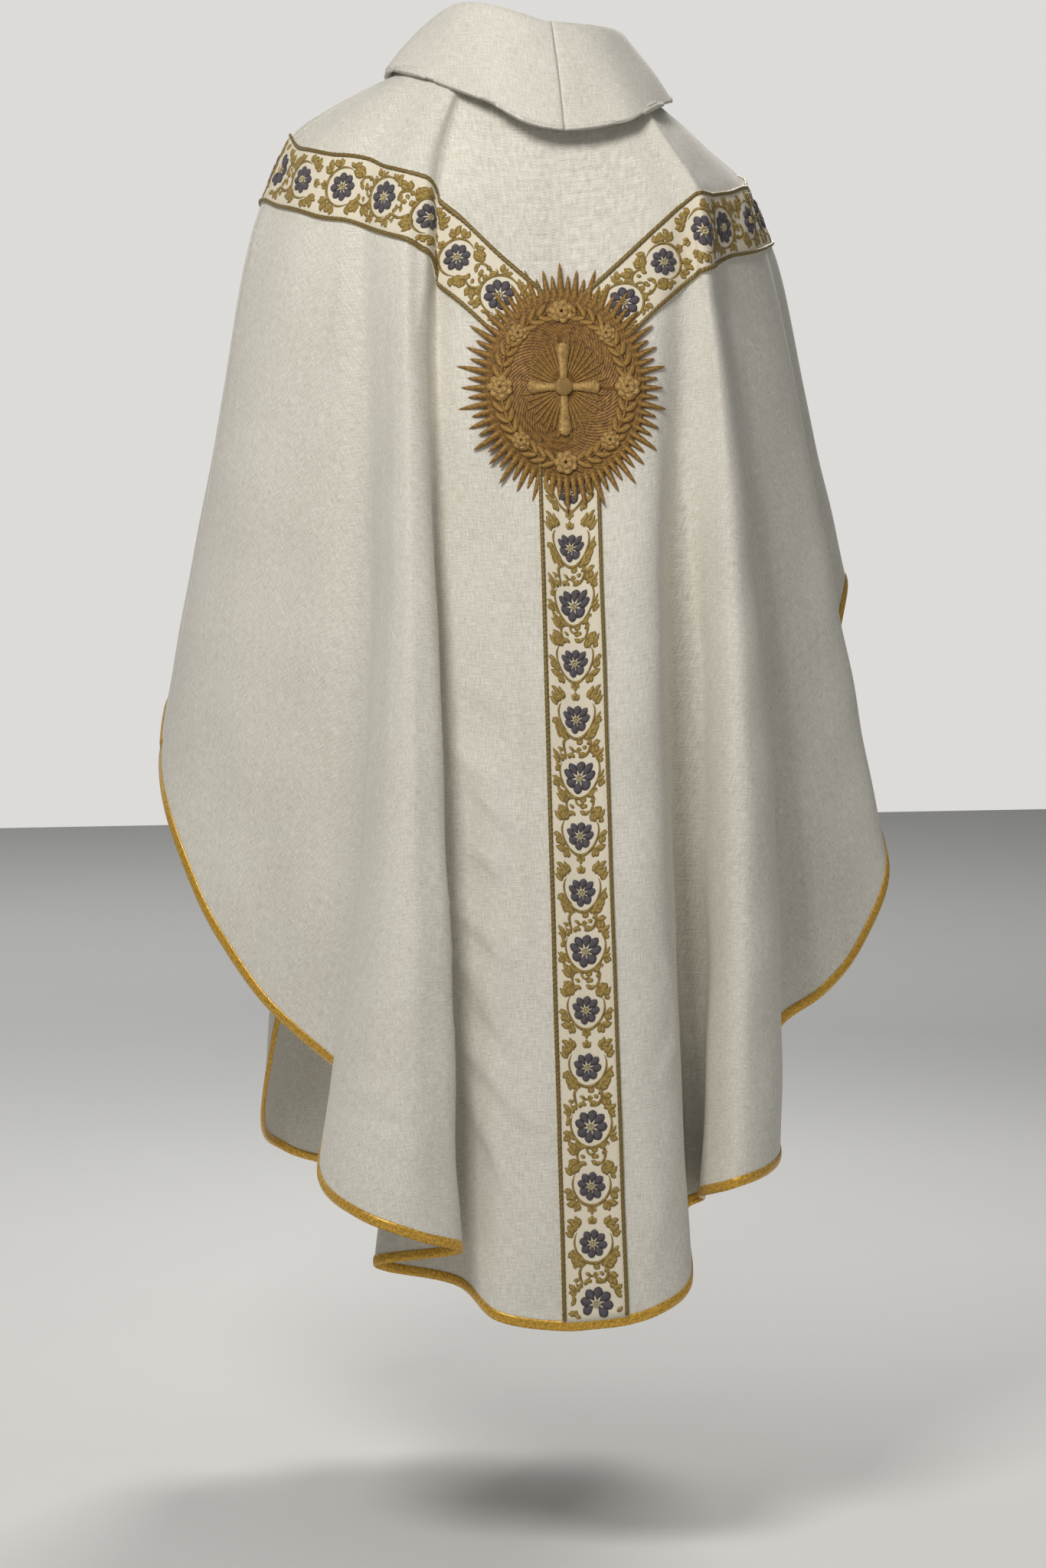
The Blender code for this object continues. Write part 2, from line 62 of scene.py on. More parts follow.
# Hang lines, one row for each ridge or valley, in order round the garment from the centre back
# over the wearer's left, the front and the right. A and B are where the line meets the upper and
# lower edge of the band round the shoulders, H is its point on the hem, full pushes the
# line outwards near the forearms, sway bends it sideways (+x) half way down.
#        name     A: x      y       z       B: x      y       z       H: x      y       z    full   sway
HANG = [
    ("back_0", 0.006, 0.183, -0.271,  0.006, 0.194, -0.366,  0.016, 0.366, -1.287,  0.000, 0.000),
    ("left_1", 0.035, 0.175, -0.246,  0.036, 0.187, -0.337,  0.048, 0.358, -1.289,  0.000, 0.000),
    ("left_2", 0.069, 0.160, -0.214,  0.071, 0.170, -0.302,  0.108, 0.334, -1.281,  0.000, 0.000),
    ("left_3", 0.105, 0.140, -0.175,  0.107, 0.150, -0.265,  0.137, 0.270, -1.256,  0.000, -0.004),
    ("left_4", 0.124, 0.122, -0.155,  0.126, 0.125, -0.243,  0.204, 0.238, -1.244,  0.000, -0.014),
    ("left_4b", 0.130, 0.122, -0.147,  0.132, 0.126, -0.234,  0.215, 0.250, -1.236,  0.000, -0.012),
    ("left_5", 0.140, 0.127, -0.134,  0.142, 0.136, -0.214,  0.142, 0.321, -1.213,  0.000, 0.004),
    ("left_6", 0.156, 0.122, -0.129,  0.160, 0.138, -0.201,  0.193, 0.350, -1.194,  0.000, -0.002),
    ("left_7", 0.166, 0.109, -0.125,  0.172, 0.124, -0.196,  0.246, 0.323, -1.175,  0.000, -0.016),
    ("left_8", 0.175, 0.093, -0.121,  0.183, 0.106, -0.191,  0.275, 0.245, -1.147,  0.000, -0.029),
    ("left_9", 0.186, 0.076, -0.113,  0.194, 0.084, -0.185,  0.228, 0.153, -1.057,  0.000, -0.012),
    ("left_10", 0.200, 0.062, -0.109,  0.209, 0.070, -0.179,  0.235, 0.108, -1.050,  0.000, 0.000),
    ("left_11", 0.220, 0.042, -0.106,  0.231, 0.049, -0.175,  0.293, 0.035, -0.995,  0.000, 0.000),
    ("left_12", 0.237, 0.012, -0.100,  0.252, 0.019, -0.166,  0.345, -0.018, -0.909,  0.000, 0.000),
    ("left_13", 0.244, -0.018, -0.095,  0.266, -0.020, -0.160,  0.382, -0.088, -0.791,  0.000, 0.000),
    ("seam_l", 0.244, -0.050, -0.083,  0.275, -0.060, -0.152,  0.376, -0.150, -0.738,  0.000, 0.000),
    ("fore_1", 0.238, -0.086, -0.075,  0.268, -0.108, -0.158,  0.362, -0.196, -0.690,  0.000, 0.000),
    ("fore_2", 0.218, -0.113, -0.085,  0.246, -0.145, -0.172,  0.340, -0.226, -0.700,  0.010, 0.000),
    ("fore_3", 0.190, -0.132, -0.115,  0.216, -0.165, -0.190,  0.302, -0.204, -0.810,  0.020, 0.000),
    ("fore_4", 0.172, -0.139, -0.130,  0.194, -0.171, -0.207,  0.240, -0.158, -0.955,  0.030, 0.000),
    ("fore_4b", 0.164, -0.142, -0.138,  0.184, -0.174, -0.215,  0.230, -0.186, -0.985,  0.033, 0.000),
    ("fore_5", 0.152, -0.146, -0.148,  0.172, -0.178, -0.228,  0.248, -0.262, -1.160,  0.040, 0.000),
    ("fore_6", 0.130, -0.152, -0.166,  0.148, -0.186, -0.248,  0.203, -0.362, -1.215,  0.050, 0.000),
    ("fore_7", 0.100, -0.158, -0.192,  0.112, -0.190, -0.275,  0.134, -0.330, -1.232,  0.055, 0.000),
    ("fore_8", 0.068, -0.162, -0.216,  0.074, -0.194, -0.302,  0.088, -0.374, -1.243,  0.065, 0.000),
    ("fore_9", 0.036, -0.166, -0.245,  0.036, -0.198, -0.335,  0.037, -0.366, -1.250,  0.070, 0.000),
    ("front_0", 0.000, -0.168, -0.270,  0.000, -0.200, -0.366,  0.000, -0.362, -1.253,  0.070, 0.000),
    ("fore_19", -0.036, -0.166, -0.245,  -0.036, -0.198, -0.335,  -0.037, -0.366, -1.250,  0.070, 0.000),
    ("fore_18", -0.068, -0.162, -0.216,  -0.074, -0.194, -0.302,  -0.086, -0.376, -1.244,  0.065, 0.000),
    ("fore_17", -0.100, -0.158, -0.192,  -0.112, -0.190, -0.275,  -0.132, -0.328, -1.232,  0.055, 0.000),
    ("fore_16", -0.128, -0.152, -0.168,  -0.146, -0.186, -0.250,  -0.204, -0.362, -1.216,  0.050, 0.000),
    ("fore_15", -0.150, -0.146, -0.150,  -0.170, -0.178, -0.230,  -0.262, -0.286, -1.165,  0.040, 0.000),
    ("fore_14b", -0.162, -0.139, -0.141,  -0.183, -0.173, -0.217,  -0.229, -0.190, -0.990,  0.033, 0.000),
    ("fore_14", -0.173, -0.134, -0.132,  -0.195, -0.168, -0.208,  -0.240, -0.160, -0.960,  0.030, 0.000),
    ("fore_13", -0.188, -0.122, -0.120,  -0.214, -0.158, -0.195,  -0.304, -0.204, -0.800,  0.020, 0.000),
    ("fore_12", -0.212, -0.095, -0.112,  -0.243, -0.130, -0.180,  -0.338, -0.214, -0.650,  0.010, 0.000),
    ("fore_11", -0.230, -0.055, -0.112,  -0.266, -0.085, -0.182,  -0.364, -0.150, -0.572,  0.000, 0.000),
    ("fore_10", -0.238, -0.012, -0.121,  -0.277, -0.030, -0.193,  -0.374, -0.067, -0.555,  0.000, 0.000),
    ("seam_r", -0.231, 0.023, -0.130,  -0.260, 0.010, -0.199,  -0.345, -0.005, -0.665,  0.000, 0.000),
    ("right_14", -0.224, 0.052, -0.135,  -0.248, 0.046, -0.201,  -0.372, 0.045, -0.800,  0.000, 0.000),
    ("right_13", -0.214, 0.080, -0.137,  -0.238, 0.076, -0.203,  -0.377, 0.087, -0.870,  0.000, 0.000),
    ("right_12", -0.199, 0.107, -0.141,  -0.219, 0.107, -0.208,  -0.334, 0.118, -0.944,  0.000, 0.000),
    ("right_11", -0.183, 0.129, -0.146,  -0.198, 0.131, -0.212,  -0.288, 0.136, -0.989,  0.000, 0.000),
    ("right_10", -0.168, 0.144, -0.149,  -0.180, 0.147, -0.215,  -0.242, 0.128, -1.024,  0.000, -0.008),
    ("right_9", -0.155, 0.158, -0.151,  -0.163, 0.161, -0.221,  -0.203, 0.160, -1.110,  0.000, -0.016),
    ("right_8", -0.146, 0.171, -0.150,  -0.153, 0.179, -0.225,  -0.208, 0.253, -1.138,  0.000, -0.022),
    ("right_7", -0.140, 0.184, -0.150,  -0.144, 0.196, -0.230,  -0.179, 0.308, -1.148,  0.000, -0.022),
    ("right_6", -0.134, 0.190, -0.151,  -0.138, 0.200, -0.233,  -0.138, 0.329, -1.157,  0.000, -0.022),
    ("right_5", -0.127, 0.189, -0.156,  -0.131, 0.195, -0.238,  -0.118, 0.274, -1.174,  0.000, -0.018),
    ("right_4b", -0.121, 0.187, -0.161,  -0.121, 0.192, -0.246,  -0.136, 0.214, -1.189,  0.000, -0.004),
    ("right_4", -0.114, 0.187, -0.166,  -0.114, 0.193, -0.251,  -0.121, 0.205, -1.198,  0.000, 0.002),
    ("right_3", -0.094, 0.190, -0.184,  -0.090, 0.203, -0.270,  -0.089, 0.335, -1.258,  0.000, 0.010),
    ("right_2", -0.050, 0.190, -0.225,  -0.050, 0.204, -0.309,  -0.048, 0.368, -1.275,  0.000, 0.004),
    ("right_1", -0.021, 0.187, -0.251,  -0.024, 0.199, -0.337,  -0.017, 0.371, -1.283,  0.000, 0.000),
]

# Height of the neck seam round the neck, a row for each side
NECK_HIGH = {"back": -0.008, "left": 0.000, "front": -0.036, "right": -0.020}

# Collar sections from the centre back round to the centre front: top of the roll and lower edge
#             top: x      y       z      low: x      y       z
COLLAR_LEFT = [
    ("back",   0.000, 0.104, 0.027, 0.000, 0.164, -0.088),
    ("l_1",    0.030, 0.099, 0.035, 0.035, 0.158, -0.082),
    ("l_2",    0.060, 0.082, 0.045, 0.073, 0.133, -0.059),
    ("l_3",    0.084, 0.048, 0.050, 0.106, 0.090, -0.040),
    ("l_4",    0.097, 0.006, 0.045, 0.134, 0.034, -0.022),
    ("l_5",    0.100, -0.034, 0.035, 0.146, -0.033, -0.013),
    ("l_6",    0.086, -0.070, 0.014, 0.134, -0.090, -0.019),
    ("l_7",    0.050, -0.098, -0.010, 0.092, -0.141, -0.070),
    ("front",  0.000, -0.108, -0.022, 0.000, -0.172, -0.120),
]
COLLAR_RIGHT = [
    ("back",   0.000, 0.104, 0.027, 0.000, 0.164, -0.088),
    ("r_1",    -0.032, 0.099, 0.026, -0.038, 0.166, -0.084),
    ("r_2",    -0.062, 0.086, 0.025, -0.070, 0.162, -0.076),
    ("r_3",    -0.086, 0.056, 0.024, -0.102, 0.136, -0.062),
    ("r_4",    -0.098, 0.018, 0.020, -0.134, 0.084, -0.050),
    ("r_5",    -0.100, -0.020, 0.010, -0.144, 0.024, -0.043),
    ("r_6",    -0.084, -0.064, -0.002, -0.136, -0.052, -0.034),
    ("r_7",    -0.048, -0.096, -0.016, -0.094, -0.128, -0.072),
    ("front",  0.000, -0.108, -0.022, 0.000, -0.172, -0.120),
]


NAMES = [row[0] for row in HANG]


def neck_point(toward):
    """Point of the neck seam on the side that a hang line leaves to."""
    angle = math.atan2(toward[1] / NECK_Y, toward[0] / NECK_X)
    c, s = math.cos(angle), math.sin(angle)
    side = NECK_HIGH["left"] if c > 0 else NECK_HIGH["right"]
    face = NECK_HIGH["back"] if s > 0 else NECK_HIGH["front"]
    return np.array([NECK_X * c, NECK_Y * s, side * c * c + face * s * s])


def line_point(row, stage, s):
    """Point on one hang line: stage 0 neck to A, 1 A to B, 2 B to the hem."""
    A, B, H = (np.array(row[k:k + 3]) for k in (1, 4, 7))
    if stage == 0:
        N = neck_point(A)
        back = abs(A[1]) / (abs(A[0]) + abs(A[1]))
        steep = 1.22 if A[0] > 0 else 1.0
        out, down = s ** (0.85 - 0.25 * back), s ** (steep + (1.12 - steep) * back)
        return np.array([N[0] + (A[0] - N[0]) * out, N[1] + (A[1] - N[1]) * out, N[2] + (A[2] - N[2]) * down])
    if stage == 1:
        return A + (B - A) * s
    start = (B - A) / np.linalg.norm(B - A) * np.linalg.norm(H - B)
    p = B + (H - B) * s + (start - (H - B)) * s * (1 - s) ** 6 * 0.8
    push = np.array([B[0], B[1], 0.0])
    push = push / np.linalg.norm(push)
    return p + push * row[10] * 12.2 * s * (1 - s) ** 4 + np.array([row[11] * 4 * s * (1 - s), 0.0, 0.0])


def between(points, line, share):
    """Points a share of the way from each line to the next on a smooth closed curve."""
    n = len(points)
    q = [points[(line + k) % n] for k in (-1, 0, 1, 2)]
    t = [np.zeros(len(line))]
    for a, b in zip(q, q[1:]):
        t.append(t[-1] + np.maximum(np.linalg.norm(b - a, axis=1), 1e-6) ** 0.5)
    x = t[1] + (t[2] - t[1]) * share

    def mix(a, b, ta, tb):
        w = ((x - ta) / (tb - ta))[:, None]
        return a * (1 - w) + b * w
    a1, a2, a3 = mix(q[0], q[1], t[0], t[1]), mix(q[1], q[2], t[1], t[2]), mix(q[2], q[3], t[2], t[3])
    return mix(mix(a1, a2, t[0], t[2]), mix(a2, a3, t[1], t[3]), t[1], t[2])


def fine_columns(first, last, steps):
    """Column places (line, share) between two named lines; steps gives the spacing at the hem by line."""
    i, end, n = NAMES.index(first), NAMES.index(last), len(NAMES)
    lines, shares, spacing = [], [], steps["start"]
    while i != end:
        spacing = steps.get(NAMES[i], spacing)
        gap = np.linalg.norm(np.array(HANG[i][7:10]) - np.array(HANG[(i + 1) % n][7:10]))
        count = max(4, math.ceil(gap / spacing))
        lines += [i] * count
        shares += [k / count for k in range(count)]
        i = (i + 1) % n
    return np.array(lines + [end]), np.array(shares + [0.0])


def facing(grid):
    """Outward direction at each point of a grid of points."""
    across = np.gradient(grid, axis=1)
    down = np.gradient(grid, axis=0)
    out = np.cross(across, down)
    return out / np.maximum(np.linalg.norm(out, axis=2, keepdims=True), 1e-12)


def cumulative(points, axis=0):
    """Length run so far along one axis of a grid or row of points."""
    step = np.linalg.norm(np.diff(points, axis=axis), axis=-1)
    first = np.zeros_like(np.take(step, [0], axis=axis))
    return np.concatenate([first, np.cumsum(step, axis=axis)], axis=axis)

FLOOR = -1.54             # sole height under the worn garment
ROOM_LIGHT = 0.18         # soft light from all round
BACKDROP = 0.72           # how pale the studio looks behind the garment
# name, place, aim, size, power, colour
LIGHTS = [
    ("key", (1.15, 1.70, 1.05), (0.0, 0.1, -0.45), (0.8, 0.8), 42.0, (1.0, 0.985, 0.95)),
    ("fill", (-2.4, 3.2, 0.2), (0.0, 0.0, -0.7), (1.8, 1.8), 5.0, (0.97, 0.98, 1.0)),
    ("front_key", (-1.0, -1.9, 1.05), (0.0, 0.0, -0.45), (0.8, 0.8), 42.0, (1.0, 0.985, 0.95)),
    ("sweep", (0.0, -5.0, 2.6), (0.0, -6.5, -1.54), (5.0, 3.0), 85.0, (1.0, 1.0, 1.0)),
    ("front_sweep", (0.0, 5.6, 2.8), (0.0, 7.2, -1.54), (5.0, 3.0), 45.0, (1.0, 1.0, 1.0)),
    ("front_fill", (2.4, -2.8, 0.2), (0.0, 0.0, -0.7), (1.8, 1.8), 10.0, (0.97, 0.98, 1.0)),
]


# Materials

def new_group(name, inputs, outputs):
    """Empty shader group with its sockets."""
    tree = bpy.data.node_groups.new(name, "ShaderNodeTree")
    for label, kind, value in inputs:
        socket = tree.interface.new_socket(name=label, in_out="INPUT", socket_type=kind)
        if value is not None:
            socket.default_value = value
    for label, kind in outputs:
        tree.interface.new_socket(name=label, in_out="OUTPUT", socket_type=kind)
    return tree, tree.nodes.new("NodeGroupInput"), tree.nodes.new("NodeGroupOutput")


def put(tree, kind, values=None, **settings):
    """New node with settings; a value that is a socket gets linked."""
    made = tree.nodes.new(kind)
    for key, value in settings.items():
        setattr(made, key, value)
    for key, value in (values or {}).items():
        if isinstance(value, bpy.types.NodeSocket):
            tree.links.new(value, made.inputs[key])
        else:
            made.inputs[key].default_value = value
    return made


def sums(tree, operation, a, b=0.0, c=0.0):
    return put(tree, "ShaderNodeMath", {0: a, 1: b, 2: c}, operation=operation).outputs[0]


def linen_weave():
    """Plain linen weave on flat metres: thread crossings, slubs along both ways and cloudy tone."""
    tree, given, result = new_group("linen_weave", [
        ("Place", "NodeSocketVector", None), ("Thread", "NodeSocketFloat", 0.0011),
        ("Slub", "NodeSocketFloat", 1.0)], [("Tone", "NodeSocketFloat"), ("Height", "NodeSocketFloat")])
    parts = put(tree, "ShaderNodeSeparateXYZ", {0: given.outputs["Place"]})
    turn = sums(tree, "DIVIDE", math.pi, given.outputs["Thread"])
    stray = put(tree, "ShaderNodeTexNoise", {"Vector": given.outputs["Place"], "Scale": 90.0, "Detail": 2.0})
    shift = sums(tree, "MULTIPLY", stray.outputs["Fac"], 2.6)
    warp = sums(tree, "SINE", sums(tree, "MULTIPLY_ADD", parts.outputs[0], turn, shift))
    weft = sums(tree, "SINE", sums(tree, "MULTIPLY_ADD", parts.outputs[1], turn, shift))
    crossing = sums(tree, "MULTIPLY", warp, weft)
    streaks = []
    for scale in ((850.0, 80.0, 1.0), (80.0, 850.0, 1.0)):
        stretched = put(tree, "ShaderNodeMapping", {"Vector": given.outputs["Place"], "Scale": scale})
        streaks.append(put(tree, "ShaderNodeTexNoise", {"Vector": stretched.outputs[0], "Scale": 1.0, "Detail": 3.0, "Roughness": 0.7}).outputs["Fac"])
    slub = sums(tree, "MULTIPLY", sums(tree, "SUBTRACT", sums(tree, "ADD", streaks[0], streaks[1]), 1.0), given.outputs["Slub"])
    cloud = put(tree, "ShaderNodeTexNoise", {"Vector": given.outputs["Place"], "Scale": 9.0, "Detail": 3.0})
    cloudy = sums(tree, "SUBTRACT", cloud.outputs["Fac"], 0.5)
    tone = sums(tree, "MULTIPLY_ADD", slub, 1.15, sums(tree, "MULTIPLY_ADD", cloudy, 0.35, 0.5))
    fleck = put(tree, "ShaderNodeTexNoise", {"Vector": given.outputs["Place"], "Scale": 430.0, "Detail": 2.0, "Roughness": 0.8})
    tone = sums(tree, "MULTIPLY_ADD", sums(tree, "SUBTRACT", fleck.outputs["Fac"], 0.5), 0.5, tone)
    tone = sums(tree, "MULTIPLY_ADD", crossing, 0.12, tone)
    height = sums(tree, "MULTIPLY_ADD", crossing, 0.25, sums(tree, "MULTIPLY_ADD", slub, 0.9, 0.5))
    tree.links.new(tone, result.inputs["Tone"])
    tree.links.new(height, result.inputs["Height"])
    return tree


def satin_stitch():
    """Rows of thread laid side by side: Along is the distance along the stitched shape."""
    tree, given, result = new_group("satin_stitch", [
        ("Along", "NodeSocketVector", None), ("Stitch", "NodeSocketFloat", 0.0010),
        ("Grain", "NodeSocketFloat", 1.0)], [("Tone", "NodeSocketFloat"), ("Height", "NodeSocketFloat")])
    parts = put(tree, "ShaderNodeSeparateXYZ", {0: given.outputs["Along"]})
    turn = sums(tree, "DIVIDE", 2 * math.pi, given.outputs["Stitch"])
    stray = put(tree, "ShaderNodeTexNoise", {"Vector": given.outputs["Along"], "Scale": 350.0, "Detail": 2.0})
    slant = sums(tree, "MULTIPLY_ADD", parts.outputs[1], 0.5, parts.outputs[0])
    wave = sums(tree, "SINE", sums(tree, "MULTIPLY_ADD", slant, turn, sums(tree, "MULTIPLY", stray.outputs["Fac"], 4.0)))
    grain = sums(tree, "MULTIPLY", sums(tree, "SUBTRACT", stray.outputs["Fac"], 0.5), given.outputs["Grain"])
    tone = sums(tree, "MULTIPLY_ADD", wave, 0.22, sums(tree, "MULTIPLY_ADD", grain, 1.4, 0.5))
    height = sums(tree, "MULTIPLY_ADD", wave, 0.4, sums(tree, "ADD", grain, 0.5))
    tree.links.new(tone, result.inputs["Tone"])
    tree.links.new(height, result.inputs["Height"])
    return tree


LINEN, SATIN = linen_weave(), satin_stitch()


def cloth_finish(name, dark, light, group, place, settings, rough, sheen=0.0, metal=0.0, relief=(0.3, 0.0004), tint=None):
    """Principled cloth or thread finish driven by one of the groups."""
    made = bpy.data.materials.new(name)
    made.use_nodes = True
    tree = made.node_tree
    skin = tree.nodes["Principled BSDF"]
    if place == "UV":
        where = put(tree, "ShaderNodeUVMap", uv_map="flat").outputs[0]
    else:
        where = put(tree, "ShaderNodeAttribute", attribute_name=place).outputs["Vector"]
    pattern = put(tree, "ShaderNodeGroup", node_tree=group)
    tree.links.new(where, pattern.inputs[0])
    for key, value in settings.items():
        pattern.inputs[key].default_value = value
    blend = put(tree, "ShaderNodeMix", data_type="RGBA", clamp_factor=True)
    tree.links.new(pattern.outputs["Tone"], blend.inputs["Factor"])
    blend.inputs[6].default_value, blend.inputs[7].default_value = (*dark, 1.0), (*light, 1.0)
    tree.links.new(blend.outputs[2], skin.inputs["Base Color"])
    bump = put(tree, "ShaderNodeBump", {"Height": pattern.outputs["Height"], "Strength": relief[0], "Distance": relief[1]})
    tree.links.new(bump.outputs[0], skin.inputs["Normal"])
    skin.inputs["Roughness"].default_value = rough
    skin.inputs["Metallic"].default_value = metal
    skin.inputs["Sheen Weight"].default_value = sheen
    skin.inputs["Sheen Roughness"].default_value = 0.45
    skin.inputs["Specular IOR Level"].default_value = 0.3
    if tint:
        skin.inputs["Sheen Tint"].default_value = (*tint, 1.0)
    return made


linen = cloth_finish("cream_linen", (0.535, 0.500, 0.425), (0.885, 0.855, 0.78), LINEN, "UV", {"Thread": 0.0016, "Slub": 1.3}, 0.88, 0.15, relief=(0.35, 0.0005))
stiff_linen = cloth_finish("collar_linen", (0.545, 0.510, 0.435), (0.885, 0.855, 0.78), LINEN, "UV", {"Thread": 0.0016, "Slub": 1.2}, 0.88, 0.15, relief=(0.35, 0.0005))
woven = cloth_finish("band_ground", (0.70, 0.62, 0.47), (0.88, 0.81, 0.66), LINEN, "UV", {"Thread": 0.0009, "Slub": 0.6}, 0.75, 0.1, relief=(0.3, 0.0004))
binding_satin = cloth_finish("binding_satin", (0.40, 0.20, 0.025), (0.88, 0.54, 0.09), SATIN, "UV", {"Stitch": 0.0022, "Grain": 1.6}, 0.32, 0.1, 0.35, (0.25, 0.0003))
leaf_gold = cloth_finish("leaf_gold_thread", (0.115, 0.072, 0.014), (0.50, 0.345, 0.10), SATIN, "stitch", {"Stitch": 0.0013, "Grain": 1.0}, 0.5, 0.1, 0.15, (0.5, 0.0005))
violet = cloth_finish("violet_thread", (0.030, 0.026, 0.030), (0.140, 0.120, 0.135), SATIN, "stitch", {"Stitch": 0.0012, "Grain": 1.0}, 0.55, 0.15, 0.0, (0.5, 0.0005))
pale_bead = cloth_finish("pale_gold_knot", (0.42, 0.33, 0.13), (0.80, 0.70, 0.42), SATIN, "stitch", {"Stitch": 0.0011, "Grain": 1.0}, 0.45, 0.1, 0.1, (0.4, 0.0004))
cord_gold = cloth_finish("edge_cord", (0.08, 0.052, 0.014), (0.33, 0.235, 0.075), SATIN, "stitch", {"Stitch": 0.0042, "Grain": 0.8}, 0.5, 0.1, 0.15, (0.4, 0.0005))
# Gold thread of the medallion's ground, darkened as painted shade on its lowest layer.
bronze_painted_shade = cloth_finish("bronze_thread_painted_shade", (0.075, 0.034, 0.008), (0.33, 0.165, 0.036), SATIN, "stitch", {"Stitch": 0.0016, "Grain": 1.3}, 0.5, 0.1, 0.2, (0.6, 0.0006))
bronze_leaf = cloth_finish("bronze_leaf_thread", (0.13, 0.062, 0.014), (0.52, 0.30, 0.080), SATIN, "stitch", {"Stitch": 0.0014, "Grain": 1.0}, 0.45, 0.1, 0.25, (0.6, 0.0006))
# Gold thread of the rosettes and cross, lightened as a painted highlight on the raised pieces.
gold_painted_highlight = cloth_finish("gold_thread_painted_highlight", (0.20, 0.105, 0.026), (0.66, 0.42, 0.15), SATIN, "stitch", {"Stitch": 0.0014, "Grain": 1.0}, 0.42, 0.1, 0.3, (0.6, 0.0006))


# Making pieces

def piece(name, mesh, finish, node, solid=None):
    """Object for a finished mesh, riding on the garment."""
    mesh.materials.append(finish)
    for face in mesh.polygons:
        face.use_smooth = True
    made = bpy.data.objects.new(name, mesh)
    bpy.context.scene.collection.objects.link(made)
    if solid:
        wall = made.modifiers.new("wall", 'SOLIDIFY')
        wall.thickness, wall.offset = solid
        wall.use_even_offset = False
    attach(made, "root")
    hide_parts(node)
    return made


def laid_sheet(points, flat, out):
    """Mesh of a grid whose corners are moved onto a grid of points, with its flat cut as UV map."""
    high, wide = points.shape[:2]
    bm = bmesh.new()
    bmesh.ops.create_grid(bm, x_segments=wide - 1, y_segments=high - 1, size=1.0)
    mesh = bpy.data.meshes.new("sheet")
    bm.to_mesh(mesh)
    bm.free()
    co = np.zeros(len(mesh.vertices) * 3)
    mesh.vertices.foreach_get("co", co)
    co = co.reshape(-1, 3)
    low, span = co.min(0), np.ptp(co, axis=0)
    col = np.rint((co[:, 0] - low[0]) / span[0] * (wide - 1)).astype(int)
    row = np.rint((co[:, 1] - low[1]) / span[1] * (high - 1)).astype(int)
    mesh.vertices.foreach_set("co", points[row, col].ravel())
    corner = np.zeros(len(mesh.loops), dtype=int)
    mesh.loops.foreach_get("vertex_index", corner)
    uv = mesh.uv_layers.new(name="flat")
    uv.data.foreach_set("uv", flat[row, col][corner].ravel())
    across = np.cross(np.gradient(points, axis=1), np.gradient(points, axis=0))
    if np.sum(across * out) < 0:
        mesh.flip_normals()
    mesh.update()
    return mesh


def strand(bm, path, wide, high, rings, sides=6, lift=0.0, power=0.6, tuck=0.35):
    """Closed padded stitch along a flat path of (a, b) in millimetres: pointed ends, half round section."""
    path = np.array(path, float)
    run = cumulative(path)
    total = run[-1]
    layer = bm.verts.layers.float_vector.get("stitch") or bm.verts.layers.float_vector.new("stitch")
    ways = np.gradient(path, run, axis=0) if len(path) > 2 else np.repeat((path[1:] - path[:1]) / total, 2, axis=0)
    for v in bmesh.ops.create_uvsphere(bm, u_segments=sides, v_segments=rings, radius=1.0)["verts"]:
        share = math.acos(max(-1.0, min(1.0, v.co.z))) / math.pi
        around = math.atan2(v.co.y, v.co.x)
        pole = v.co.x * v.co.x + v.co.y * v.co.y < 1e-9
        s = share * total
        a, b = np.interp(s, run, path[:, 0]), np.interp(s, run, path[:, 1])
        ta, tb = np.interp(s, run, ways[:, 0]), np.interp(s, run, ways[:, 1])
        size = math.hypot(ta, tb) or 1.0
        ta, tb = ta / size, tb / size
        grow = 0.0 if pole else (wide(share) if callable(wide) else wide * min(1.0, (4 * share * (1 - share)) ** power))
        up = math.sin(around)
        h = lift + (high * up if up > 0 else high * tuck * up) * (grow / (wide(0.5) if callable(wide) else wide)) ** 0.5 if grow > 0 else lift
        side = math.cos(around) * grow
        v.co = (a - tb * side, b + ta * side, h)
        v[layer] = (s * 0.001, side * 0.001, h * 0.001)


def arc(centre, radius, start, end, count=16, shrink=0.0):
    """Flat arc in degrees; shrink winds it inwards as a spiral."""
    turn = np.radians(np.linspace(start, end, count))
    r = radius * (1 - shrink * np.linspace(0, 1, count))
    return np.stack([centre[0] + r * np.cos(turn), centre[1] + r * np.sin(turn)], axis=1)


def leaf(bm, base, angle, length, wide, bend=0.0, high=1.0):
    t = np.linspace(0, 1, 7)
    turn = np.radians(angle + bend * t)
    step = length / 6
    path = np.stack([base[0] + np.concatenate([[0], np.cumsum(np.cos(turn[:-1]) * step)]),
                     base[1] + np.concatenate([[0], np.cumsum(np.sin(turn[:-1]) * step)])], axis=1)
    strand(bm, path, lambda s: wide * math.sin(math.pi * min(1.0, s ** 0.8)) ** 0.8 + 0.05, high, 6, 6)


def frond(bm, base, angle, length, bend, size=1.0):
    """Short stem with paired leaflets and one at its tip."""
    t = np.linspace(0, 1, 6)
    turn = np.radians(angle + bend * t)
    steps = length / 5
    a = base[0] + np.concatenate([[0], np.cumsum(np.cos(turn[:-1]) * steps)])
    b = base[1] + np.concatenate([[0], np.cumsum(np.sin(turn[:-1]) * steps)])
    strand(bm, np.stack([a, b], axis=1), 0.7, 1.0, 7, 5)
    for k in (1, 3):
        for side in (-1, 1):
            leaf(bm, (a[k], b[k]), math.degrees(turn[k]) + side * 52, 8.2 * size, 2.9 * size, -side * 30)
    leaf(bm, (a[-1], b[-1]), math.degrees(turn[-1]), 8.8 * size, 3.2 * size, bend * 0.3)


